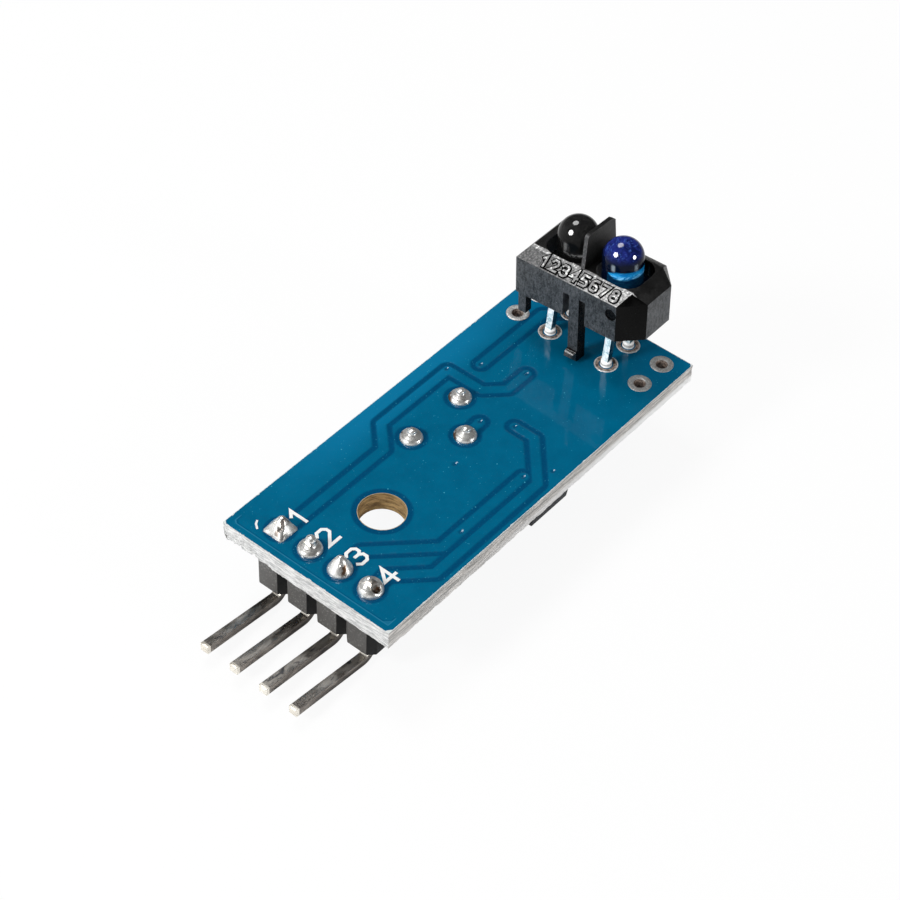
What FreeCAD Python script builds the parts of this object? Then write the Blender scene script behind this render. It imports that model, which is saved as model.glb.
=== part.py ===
import FreeCAD, Part
import math
import os
from types import SimpleNamespace

import Sketcher

# An infrared line tracking sensor: a small circuit board that carries a reflective
# sensor at one end, a right-angle pin header at the other and a trimming potentiometer
# with its comparator on the underside.
#
# Frame: +Z is out of the face that carries the reflective sensor, +X runs along the
# board from the header to the sensor, and the origin is the centre of the mounting
# hole, on that face. Millimetres.

# Driving sizes, in millimetres, degrees and counts.
SIZES = {
    # Board
    "board_length": 32.0,
    "board_width": 14.0,
    "board_thickness": 1.5,
    "hole_diameter": 3.2,
    "hole_from_end": 7.45,
    "barrel_wall": 0.05,
    "barrel_play": 0.01,
    "land_lift": 0.02,
    "trace_width": 0.7,
    "trace_gap": 0.38,
    "groove_depth": 0.02,
    # Pin header
    "header_count": 4,
    "header_pitch": 2.54,
    "header_from_end": 1.95,
    "header_fill_side": 0.95,
    "header_land": 1.65,
    "header_block": 2.54,
    "header_block_corner": 0.47,
    "header_block_height": 2.54,
    "header_block_gap": 0.6,
    "header_pin_side": 0.64,
    "header_pin_proud": 0.85,
    "header_pin_drop": 4.7,
    "header_pin_reach": 7.4,
    "header_pin_rise": 0.95,
    "header_pin_bend": 0.45,
    "header_pin_tip": 0.14,
    "header_solder_height": 1.1,
    # Reflective sensor
    "sensor_from_hole": 21.9,
    "sensor_ahead": 0.25,
    "sensor_length": 9.95,
    "sensor_width": 5.65,
    "sensor_standoff": 3.6,
    "sensor_shift": -0.11,
    "sensor_lean": 3.2,
    "sensor_wall_height": 3.0,
    "sensor_rim_height": 3.7,
    "sensor_rim_inset": 1.05,
    "sensor_far_inset": 0.6,
    "sensor_corner": 1.5,
    "lens_spacing": 3.76,
    "lens_diameter": 2.86,
    "lens_centre_height": 4.72,
    "lens_block_floor": 0.6,
    "lens_block_top": 2.5,
    "lens_block_play": 0.08,
    "well_length": 3.4,
    "well_from_middle": 0.35,
    "well_to_end": 3.85,
    "well_corner": 1.1,
    "partition_thickness": 0.5,
    "partition_height": 6.85,
    "partition_taper": 0.1,
    "partition_shoulder": 0.9,
    "partition_slope_run": 0.85,
    "partition_slope_drop": 0.25,
    "partition_corner": 0.35,
    "partition_corner_drop": 0.3,
    "clip_width": 0.82,
    "clip_thickness": 0.85,
    "clip_slot": 0.52,
    "clip_slot_height": 2.0,
    "clip_board_gap": 0.12,
    "clip_hook": 0.4,
    "peg_side": 0.63,
    "peg_inset": 0.24,
    "peg_length": 1.55,
    "ejector_diameter": 0.9,
    "ejector_depth": 0.08,
    "lead_side": 0.5,
    "lead_pitch": 2.54,
    "lead_spacing": 4.9,
    "lead_grip": 1.0,
    "lead_straight": 0.5,
    "lead_below_board": 1.1,
    "spare_spacing": 10.66,
    "spare_drill": 0.95,
    "sensor_fill_side": 0.8,
    "sensor_land": 1.65,
    "sensor_solder_top": 0.5,
    "sensor_solder_height": 1.05,
    # Trimming potentiometer
    "trimmer_from_hole": 8.84,
    "trimmer_across": 2.0,
    "trimmer_length": 6.6,
    "trimmer_depth": 7.0,
    "trimmer_height": 4.88,
    "trimmer_foot": 0.3,
    "trimmer_foot_side": 1.0,
    "trimmer_foot_inset": 0.4,
    "trimmer_corner": 0.35,
    "trimmer_pin_pitch": 2.54,
    "trimmer_row_offset": 0.92,
    "trimmer_pin_diameter": 0.55,
    "trimmer_pin_proud": 0.45,
    "trimmer_fill_side": 0.85,
    "trimmer_land": 1.75,
    "trimmer_solder_height": 0.72,
    "element_length": 5.6,
    "element_depth": 6.0,
    "element_thickness": 0.8,
    "element_play": 0.05,
    "rotor_radius": 2.45,
    "rotor_flange": 0.8,
    "rotor_play": 0.08,
    "rotor_lug": 0.25,
    "rotor_lug_half_angle": 20.0,
    "rotor_travel": 130.0,
    "rotor_stop_margin": 3.0,
    "journal_radius": 1.5,
    "journal_play": 0.05,
    "rotor_chamber": 1.75,
    "rotor_recess_radius": 2.2,
    "rotor_recess": 0.35,
    "rotor_sunk": 0.08,
    "slot_width": 0.55,
    "slot_length": 2.3,
    "slot_depth": 0.7,
    "wiper_thickness": 0.15,
    "wiper_outer": 1.6,
    "wiper_inner": 0.8,
    "wiper_width": 0.8,
    "wiper_reach": 2.1,
    "wiper_gap": 0.05,
    "wiper_tip": 0.5,
    "wiper_root_inset": 0.1,
    # Comparator
    "comparator_from_hole": 9.55,
    "comparator_gap": 0.08,
    "comparator_width": 3.9,
    "comparator_length": 4.9,
    "comparator_height": 1.45,
    "comparator_standoff": 0.12,
    "comparator_draft": 6.0,
    "comparator_lead_pitch": 1.27,
    "comparator_lead_count": 4,
    "comparator_lead_width": 0.41,
    "comparator_lead_thickness": 0.2,
    "comparator_span": 6.0,
    "comparator_foot": 0.6,
    "comparator_knee": 0.1,
    "comparator_land_length": 1.4,
    "comparator_land_width": 0.6,
    "comparator_mark": 0.9,
    "comparator_mark_radius": 0.3,
    "comparator_mark_depth": 0.1,
    # Chip parts
    "chip_length": 1.6,
    "chip_width": 0.8,
    "chip_cap_length": 0.35,
    "chip_cap_wall": 0.04,
    "resistor_height": 0.45,
    "capacitor_height": 0.8,
    "resistor_count": 5,
    "resistor_from_hole": 15.6,
    "resistor_pitch": 2.2,
    "capacitor_near_from_hole": 4.0,
    "capacitor_far_from_hole": 18.4,
    "capacitor_from_side": 2.6,
    "light_from_hole": -1.2,
    "light_from_side": 1.5,
    "light_base_height": 0.3,
    "light_lens_length": 1.0,
    "light_lens_height": 0.4,
    "light_lens_draft": 8.0,
    "land_length": 0.9,
    "land_width": 0.95,
    "land_overhang": 0.35,
}

doc = FreeCAD.newDocument("line_tracking_sensor")
sheet = doc.addObject("Spreadsheet::Sheet", "Sizes")
for row, (alias, number) in enumerate(SIZES.items(), 1):
    sheet.set("A%d" % row, alias)
    sheet.set("B%d" % row, str(number))
    sheet.setAlias("B%d" % row, alias)
doc.recompute()


class Size:
    """A length that knows its number and the sheet formula that it comes from."""

    def __init__(self, value, formula):
        self.value = float(value)
        self.formula = formula

    def __add__(self, other):
        other = as_size(other)
        return Size(self.value + other.value, "(%s + %s)" % (self.formula, other.formula))

    def __radd__(self, other):
        return as_size(other) + self

    def __sub__(self, other):
        other = as_size(other)
        return Size(self.value - other.value, "(%s - %s)" % (self.formula, other.formula))

    def __rsub__(self, other):
        return as_size(other) - self

    def __mul__(self, factor):
        factor = as_size(factor)
        return Size(self.value * factor.value, "(%s * %s)" % (self.formula, factor.formula))

    __rmul__ = __mul__

    def __truediv__(self, number):
        number = as_size(number)
        return Size(self.value / number.value, "(%s / %s)" % (self.formula, number.formula))

    def __neg__(self):
        return Size(-self.value, "(0 - %s)" % self.formula)


def as_size(number):
    if isinstance(number, Size):
        return number
    return Size(number, "(%r)" % float(number))


def along(radius, degrees):
    """A point on a circle about the origin, at an angle from +X."""
    turn = math.radians(degrees.value)
    x = Size(radius.value * math.cos(turn), "(%s * cos(%s * 1 deg))" % (radius.formula, degrees.formula))
    y = Size(radius.value * math.sin(turn), "(%s * sin(%s * 1 deg))" % (radius.formula, degrees.formula))
    return x, y


dim = SimpleNamespace(**{alias: Size(sheet.get(alias), "Sizes." + alias) for alias in SIZES})


# Levels and places that several pieces share. Cutting shapes run past the piece by the
# overrun, and joined shapes sink into each other by the overlap.

top_face = as_size(0.0)
overrun = as_size(1.0)
overlap = as_size(0.3)
under_face = -dim.board_thickness
land_bottom = under_face - dim.land_lift
header_x = dim.header_from_end - dim.hole_from_end
header_pins = int(dim.header_count.value)
block_top = under_face - dim.header_block_gap
resistors = int(dim.resistor_count.value)
comparator_leads = int(dim.comparator_lead_count.value)


def spread(count, pitch, number):
    """The place of one of several things spaced evenly about zero, first one highest."""
    return pitch * ((count - 1) / 2.0 - number)


comparator_y = (dim.trimmer_across - dim.trimmer_depth / 2 - dim.comparator_gap
                - dim.comparator_length / 2)
capacitor_y = dim.board_width / 2 - dim.capacitor_from_side
light_y = dim.board_width / 2 - dim.light_from_side
header_places = [(header_x, spread(header_pins, dim.header_pitch, n)) for n in range(header_pins)]

trimmer_x = dim.trimmer_from_hole
trimmer_y = dim.trimmer_across
trimmer_row_y = trimmer_y + dim.trimmer_row_offset
trimmer_places = [
    (trimmer_x - dim.trimmer_pin_pitch, trimmer_row_y),
    (trimmer_x, trimmer_row_y - dim.trimmer_pin_pitch),
    (trimmer_x + dim.trimmer_pin_pitch, trimmer_row_y),
]

lead_near_x = dim.sensor_from_hole - dim.lead_pitch / 2
lead_far_x = dim.sensor_from_hole + dim.lead_pitch / 2
lead_side_y = dim.lead_spacing / 2
spare_side_y = dim.spare_spacing / 2
detector_places = [(lead_near_x, lead_side_y), (lead_far_x, lead_side_y)]
emitter_places = [(lead_near_x, -lead_side_y), (lead_far_x, -lead_side_y)]
spare_places = [(x, y) for x in (lead_near_x, lead_far_x) for y in (spare_side_y, -spare_side_y)]

# Centres of the copper traces on the sensor's face, from pad to via.
pin_three_y = header_places[2][1]
pin_four_y = header_places[3][1]
TRACES = {
    "supply": [(header_x, 3.6), (4.3, 3.6), (6.0, 5.3), (12.95, 5.3)],
    "supply_branch": [(12.95, 5.3), (12.95, 2.3), (14.2, 1.05), (16.25, 1.05)],
    "collector": [(14.85, 3.95), (21.75, 3.95), (lead_far_x, lead_side_y)],
    "digital": [(header_x, pin_three_y), (-3.4, pin_three_y), (0.2, -4.87), (8.5, -4.87)],
    "analogue": [(header_x, pin_four_y), (-3.9, pin_four_y), (-1.75, -5.95), (8.6, -5.95),
                 (11.73, -3.2), (11.73, -1.55)],
    "wiper": [trimmer_places[1], (10.4, 0.45)],
}


# Small tools for building and binding.

def bind(item, **properties):
    for name, value in properties.items():
        item.setExpression(name, as_size(value).formula)


def place(item, x, y, z):
    item.setExpression("Placement.Base.x", as_size(x).formula)
    item.setExpression("Placement.Base.y", as_size(y).formula)
    item.setExpression("Placement.Base.z", as_size(z).formula)


def block(name, low, high):
    """A box between two corners."""
    item = doc.addObject("Part::Box", name)
    bind(item, Length=high[0] - low[0], Width=high[1] - low[1], Height=high[2] - low[2])
    place(item, *low)
    return item


def centred_block(name, x, y, length, width, low, high):
    half_x = as_size(length) / 2
    half_y = as_size(width) / 2
    return block(name, (x - half_x, y - half_y, as_size(low)), (x + half_x, y + half_y, as_size(high)))


def rod(name, x, y, low, high, radius):
    """An upright cylinder."""
    item = doc.addObject("Part::Cylinder", name)
    bind(item, Radius=radius, Height=as_size(high) - low)
    place(item, x, y, low)
    return item


def fused(name, items):
    item = doc.addObject("Part::MultiFuse", name)
    item.Shapes = items
    return item


def together(name, items):
    """Separate solids that share one node."""
    item = doc.addObject("Part::Compound", name)
    item.Links = items
    return item


def cut(name, base, tool):
    item = doc.addObject("Part::Cut", name)
    item.Base = base
    item.Tool = tool
    return item


def new_body(name):
    return doc.addObject("PartDesign::Body", name)


def new_sketch(body, role, name, offset=None):
    """A sketch on one of the body's own origin planes, moved along its normal."""
    sketch = body.newObject("Sketcher::SketchObject", name)
    plane = [item for item in body.Origin.OriginFeatures if item.Role == role][0]
    sketch.AttachmentSupport = [(plane, "")]
    sketch.MapMode = "FlatFace"
    if offset is not None:
        sketch.setExpression("AttachmentOffset.Base.z", as_size(offset).formula)
    return sketch


def pin_point(sketch, edge, end, x, y):
    """Ties a point of the sketch to the sheet."""
    for kind, size in (("DistanceX", as_size(x)), ("DistanceY", as_size(y))):
        number = sketch.addConstraint(Sketcher.Constraint(kind, -1, 1, edge, end, size.value))
        sketch.setExpression("Constraints[%d]" % number, size.formula)


def arc_between(start, end, radius, side):
    """The arc from one point to another that bulges to its left (side 1) or right (side -1)."""
    middle = (start + end) * 0.5
    chord = end - start
    half = chord.Length / 2
    left = FreeCAD.Vector(-chord.y, chord.x, 0).normalize()
    centre = middle - left * (side * math.sqrt(max(radius * radius - half * half, 0.0)))
    from_start = start - centre
    from_end = end - centre
    first = math.atan2(from_start.y, from_start.x)
    last = math.atan2(from_end.y, from_end.x)
    circle = Part.Circle(centre, FreeCAD.Vector(0, 0, 1), radius)
    if side > 0:
        return Part.ArcOfCircle(circle, last, first)
    return Part.ArcOfCircle(circle, first, last)


def outline(sketch, corners, arcs=None):
    """A closed outline with every corner tied to the sheet.

    arcs gives, for a side's number, its radius and which side it bulges to.
    """
    arcs = arcs or {}
    corners = [(as_size(x), as_size(y)) for x, y in corners]
    points = [FreeCAD.Vector(x.value, y.value, 0) for x, y in corners]
    count = len(points)
    edges = []
    for number, start in enumerate(points):
        end = points[(number + 1) % count]
        if number in arcs:
            radius, side = arcs[number]
            curve = arc_between(start, end, as_size(radius).value, side)
            ends = (2, 1) if side > 0 else (1, 2)
        else:
            curve = Part.LineSegment(start, end)
            ends = (1, 2)
        edges.append((sketch.addGeometry(curve, False),) + ends)
    for number, (edge, first, last) in enumerate(edges):
        following = edges[(number + 1) % count]
        sketch.addConstraint(Sketcher.Constraint("Coincident", edge, last, following[0], following[1]))
        pin_point(sketch, edge, first, *corners[number])
        if number in arcs:
            radius = as_size(arcs[number][0])
            tie = sketch.addConstraint(Sketcher.Constraint("Radius", edge, radius.value))
            sketch.setExpression("Constraints[%d]" % tie, radius.formula)


def rectangle(sketch, low_x, high_x, low_y, high_y):
    outline(sketch, [(low_x, low_y), (high_x, low_y), (high_x, high_y), (low_x, high_y)])


def round_rectangle(sketch, low_x, high_x, low_y, high_y, corner):
    outline(sketch, [
        (low_x + corner, low_y), (high_x - corner, low_y),
        (high_x, low_y + corner), (high_x, high_y - corner),
        (high_x - corner, high_y), (low_x + corner, high_y),
        (low_x, high_y - corner), (low_x, low_y + corner),
    ], arcs={number: (corner, -1) for number in (1, 3, 5, 7)})


def circle(sketch, x, y, radius):
    x, y, radius = as_size(x), as_size(y), as_size(radius)
    centre = FreeCAD.Vector(x.value, y.value, 0)
    edge = sketch.addGeometry(Part.Circle(centre, FreeCAD.Vector(0, 0, 1), radius.value), False)
    tie = sketch.addConstraint(Sketcher.Constraint("Radius", edge, radius.value))
    sketch.setExpression("Constraints[%d]" % tie, radius.formula)
    pin_point(sketch, edge, 3, x, y)


def pad(body, sketch, length, both_ways=False, reversed_way=False, taper=None):
    feature = body.newObject("PartDesign::Pad", sketch.Name + "_pad")
    feature.Profile = sketch
    bind(feature, Length=length)
    feature.Midplane = both_ways
    feature.Reversed = reversed_way
    if taper is not None:
        feature.setExpression("TaperAngle", "%s * 1 deg" % as_size(taper).formula)
    return feature


def pocket(body, sketch, depth, both_ways=False, reversed_way=False):
    """Cuts against the sketch's normal, along it if reversed_way, or to both sides."""
    feature = body.newObject("PartDesign::Pocket", sketch.Name + "_pocket")
    feature.Profile = sketch
    bind(feature, Length=depth)
    feature.Midplane = both_ways
    feature.Reversed = reversed_way
    return feature


def revolve(body, sketch):
    """A full turn about the sketch's vertical axis."""
    feature = body.newObject("PartDesign::Revolution", sketch.Name + "_turn")
    feature.Profile = sketch
    feature.ReferenceAxis = (sketch, ["V_Axis"])
    feature.Angle = 360.0
    return feature


def edges_where(feature, test):
    """Names of the edges whose middle and direction pass a test."""
    names = []
    for number, edge in enumerate(feature.Shape.Edges, 1):
        middle = edge.CenterOfMass
        direction = edge.Vertexes[-1].Point - edge.Vertexes[0].Point
        if test(middle, direction):
            names.append("Edge%d" % number)
    return names


def soften(body, kind, base, names, size):
    """A Fillet or Chamfer of named edges."""
    feature = body.newObject("PartDesign::" + kind, body.Name + "_" + kind.lower() + names[0])
    feature.Base = (base, names)
    if kind == "Fillet":
        bind(feature, Radius=size)
    else:
        bind(feature, Size=size)
    return feature


# Board: a glass laminate under solder mask, with copper traces, lands and lined holes.

board_low_x = -dim.hole_from_end
board_high_x = dim.board_length - dim.hole_from_end
board_side_y = dim.board_width / 2


def ribbon_end(centre, outward, half_width):
    """The inner points of half an octagon about the end of a bar, in clockwise order."""
    sideways = FreeCAD.Vector(-outward.y, outward.x, 0)
    return [
        centre + (outward * math.cos(turn) + sideways * math.sin(turn)) * half_width
        for turn in (math.pi / 4, 0.0, -math.pi / 4)
    ]


def ribbon(points, half_width, low):
    """A bar one millimetre high along a line of points, with mitred corners and blunt ends."""
    centres = [FreeCAD.Vector(as_size(x).value, as_size(y).value, low) for x, y in points]
    directions = [(end - start).normalize() for start, end in zip(centres, centres[1:])]
    left = []
    right = []
    for number, centre in enumerate(centres):
        before = directions[max(number - 1, 0)]
        after = directions[min(number, len(directions) - 1)]
        side = FreeCAD.Vector(-before.y - after.y, before.x + after.x, 0).normalize()
        side *= half_width / math.sqrt((1 + before.dot(after)) / 2)
        left.append(centre + side)
        right.append(centre - side)
    first = ribbon_end(centres[0], -directions[0], half_width)
    last = ribbon_end(centres[-1], directions[-1], half_width)
    ring = left + last + right[::-1] + first + left[:1]
    return Part.Face(Part.makePolygon(ring)).extrude(FreeCAD.Vector(0, 0, 1))


def trace_grooves():
    """Shallow grooves in the mask where the copper is etched away beside each trace."""
    floor = -dim.groove_depth.value
    half = dim.trace_width.value / 2
    wide = half + dim.trace_gap.value
    cleared = [ribbon(points, wide, floor) for points in TRACES.values()]
    grooves = cleared[0].multiFuse(cleared[1:])
    for points in TRACES.values():
        grooves = grooves.cut(ribbon(points, half, floor))
    item = doc.addObject("Part::Feature", "trace_grooves")
    item.Shape = grooves
    return item


def make_circuit_board():
    body = new_body("board_blank")
    sheet_outline = new_sketch(body, "XY_Plane", "board_outline")
    rectangle(sheet_outline, board_low_x, board_high_x, -board_side_y, board_side_y)
    pad(body, sheet_outline, dim.board_thickness, reversed_way=True)
    drills = new_sketch(body, "XY_Plane", "board_drills")
    circle(drills, 0, 0, dim.hole_diameter / 2)
    for x, y in spare_places:
        circle(drills, x, y, dim.spare_drill / 2)
    for places, side in (
        (header_places, dim.header_fill_side),
        (trimmer_places, dim.trimmer_fill_side),
        (detector_places + emitter_places, dim.sensor_fill_side),
    ):
        for x, y in places:
            rectangle(drills, x - side / 2, x + side / 2, y - side / 2, y + side / 2)
    pocket(body, drills, dim.board_thickness)
    return cut("circuit_board", body, trace_grooves())


def make_spare_eyelets():
    """The sensor's spare holes: a thin copper lining with a land on each face."""
    eyelets = []
    for number, (x, y) in enumerate(spare_places, 1):
        body = new_body("spare_eyelet_%d" % number)
        lining = new_sketch(body, "XZ_Plane", "spare_eyelet_profile_%d" % number)
        outer = dim.spare_drill / 2 - dim.barrel_play
        inner = outer - dim.barrel_wall
        land = dim.sensor_land / 2
        outline(lining, [
            (inner, dim.land_lift), (land, top_face), (outer, top_face),
            (outer, under_face), (land, under_face), (inner, land_bottom),
        ])
        revolve(body, lining)
        place(body, x, y, 0)
        eyelets.append(body)
    return together("spare_eyelets", eyelets)


def chip_places():
    """The name and place of each two-ended chip part on the underside."""
    places = {}
    for number in range(resistors):
        y = spread(resistors, dim.resistor_pitch, number)
        places["resistor_%d" % (number + 1)] = (dim.resistor_from_hole, y)
    places["capacitor_1"] = (dim.capacitor_near_from_hole, -capacitor_y)
    places["capacitor_2"] = (dim.capacitor_far_from_hole, capacitor_y)
    places["power_light"] = (dim.light_from_hole, light_y)
    places["output_light"] = (dim.light_from_hole, -light_y)
    return places


def land_areas():
    """Centre, length and width of every surface land on the underside."""
    areas = []
    reach = dim.chip_length / 2 + dim.land_overhang - dim.land_length / 2
    for x, y in chip_places().values():
        for side in (-1, 1):
            areas.append((x + reach * side, y, dim.land_length, dim.land_width))
    row = dim.comparator_span / 2 + dim.land_overhang - dim.comparator_land_length / 2
    for side in (-1, 1):
        for number in range(comparator_leads):
            y = comparator_y + spread(comparator_leads, dim.comparator_lead_pitch, number)
            x = dim.comparator_from_hole + row * side
            areas.append((x, y, dim.comparator_land_length, dim.comparator_land_width))
    return areas


def make_surface_lands():
    lands = []
    for number, (x, y, length, width) in enumerate(land_areas()):
        lands.append(centred_block("land_%d" % number, x, y, length, width, land_bottom, under_face))
    return together("surface_lands", lands)


# Solder: a turned blob on the land with a shank that fills the hole round the pin.

def solder_joint(name, x, y, land, fill, pin, upper, lower=None):
    """upper and lower are profiles of radius and height, from the land's rim to the tip."""
    body = new_body(name + "_blob")
    crown = new_sketch(body, "XZ_Plane", name + "_crown")
    outline(crown, [(0, top_face)] + list(upper))
    revolve(body, crown)
    if land is not None:
        plate = new_sketch(body, "XY_Plane", name + "_land")
        rectangle(plate, -land / 2, land / 2, -land / 2, land / 2)
        pad(body, plate, dim.land_lift)
    shank = new_sketch(body, "XY_Plane", name + "_shank")
    rectangle(shank, -fill / 2, fill / 2, -fill / 2, fill / 2)
    pad(body, shank, dim.board_thickness, reversed_way=True)
    if lower is not None:
        foot = new_sketch(body, "XZ_Plane", name + "_foot")
        outline(foot, [(0, under_face)] + [(radius, under_face - height) for radius, height in lower])
        revolve(body, foot)
    place(body, x, y, 0)
    return cut(name, body, pin)


# Pin header: a strip of four blocks with four pins bent square.

def make_header():
    half = dim.header_block / 2
    corner = dim.header_block_corner
    body = new_body("header_strip")
    outline_sketch = new_sketch(body, "XY_Plane", "header_block_outline", block_top)
    first_y = header_places[0][1]
    outline(outline_sketch, [
        (header_x - half, first_y - half + corner), (header_x - half + corner, first_y - half),
        (header_x + half - corner, first_y - half), (header_x + half, first_y - half + corner),
        (header_x + half, first_y + half - corner), (header_x + half - corner, first_y + half),
        (header_x - half + corner, first_y + half), (header_x - half, first_y + half - corner),
    ])
    first_block = pad(body, outline_sketch, dim.header_block_height, reversed_way=True)
    row = body.newObject("PartDesign::LinearPattern", "header_block_row")
    row.Originals = [first_block]
    row.Direction = (outline_sketch, ["V_Axis"])
    row.Reversed = True
    bind(row, Length=dim.header_pitch * (header_pins - 1), Occurrences=dim.header_count)
    body.Tip = row
    half_pin = dim.header_pin_side / 2
    tolerance = 0.001
    corner_z = under_face - dim.header_pin_drop
    pins = []
    passages = []
    solders = []
    for number, (x, y) in enumerate(header_places, 1):
        name = "header_pin_%d" % number
        pin = new_body(name)
        side = new_sketch(pin, "XZ_Plane", name + "_side")
        outline(side, [
            (-half_pin, dim.header_pin_proud),
            (half_pin, dim.header_pin_proud),
            (half_pin, corner_z - half_pin),
            (-dim.header_pin_reach, corner_z + dim.header_pin_rise - half_pin),
            (-dim.header_pin_reach, corner_z + dim.header_pin_rise + half_pin),
            (-half_pin, corner_z + half_pin),
        ])
        shank = pad(pin, side, dim.header_pin_side, both_ways=True)
        place(pin, x, y, 0)
        doc.recompute()
        near = dim.header_pin_side.value
        inner = edges_where(shank, lambda m, d: abs(d.y) > tolerance and -near < m.x < 0
                            and corner_z.value < m.z < corner_z.value + near)
        bend = soften(pin, "Fillet", shank, inner, dim.header_pin_bend)
        doc.recompute()
        outer = edges_where(bend, lambda m, d: abs(d.y) > tolerance and m.x > 0
                            and m.z < corner_z.value)
        bend = soften(pin, "Fillet", bend, outer, dim.header_pin_bend + dim.header_pin_side)
        doc.recompute()
        tip_x = -dim.header_pin_reach.value + tolerance
        top_z = dim.header_pin_proud.value - tolerance
        ends = edges_where(bend, lambda m, d: m.x < tip_x or m.z > top_z)
        soften(pin, "Chamfer", bend, ends, dim.header_pin_tip)
        pins.append(pin)
        passages.append(centred_block("header_passage_%d" % number, x, y, dim.header_pin_side,
                                      dim.header_pin_side, block_top - dim.header_block_height - overrun,
                                      block_top + overrun))
        rim = dim.header_land / 2
        peak = dim.header_solder_height
        solders.append(solder_joint(
            "header_solder_%d" % number, x, y, dim.header_land if number == 1 else None,
            dim.header_fill_side, pin,
            [(rim, 0), (rim * 0.65, peak * 0.6), (0, peak)]))
    housing = cut("header_housing", body, fused("header_passages", passages))
    return [housing] + pins + solders


# Reflective sensor: a moulded housing with an emitter and a detector in it.

def lean(item):
    """Sets a piece of the sensor at its place, leaning a little about the board's length."""
    turn = FreeCAD.Rotation(FreeCAD.Vector(-1, 0, 0), dim.sensor_lean.value)
    pivot = FreeCAD.Vector(0, 0, dim.sensor_wall_height.value)
    middle_x = dim.sensor_from_hole + dim.sensor_ahead
    base = FreeCAD.Vector(middle_x.value, dim.sensor_shift.value, dim.sensor_standoff.value)
    item.Placement = FreeCAD.Placement(base, turn, pivot)


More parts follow.
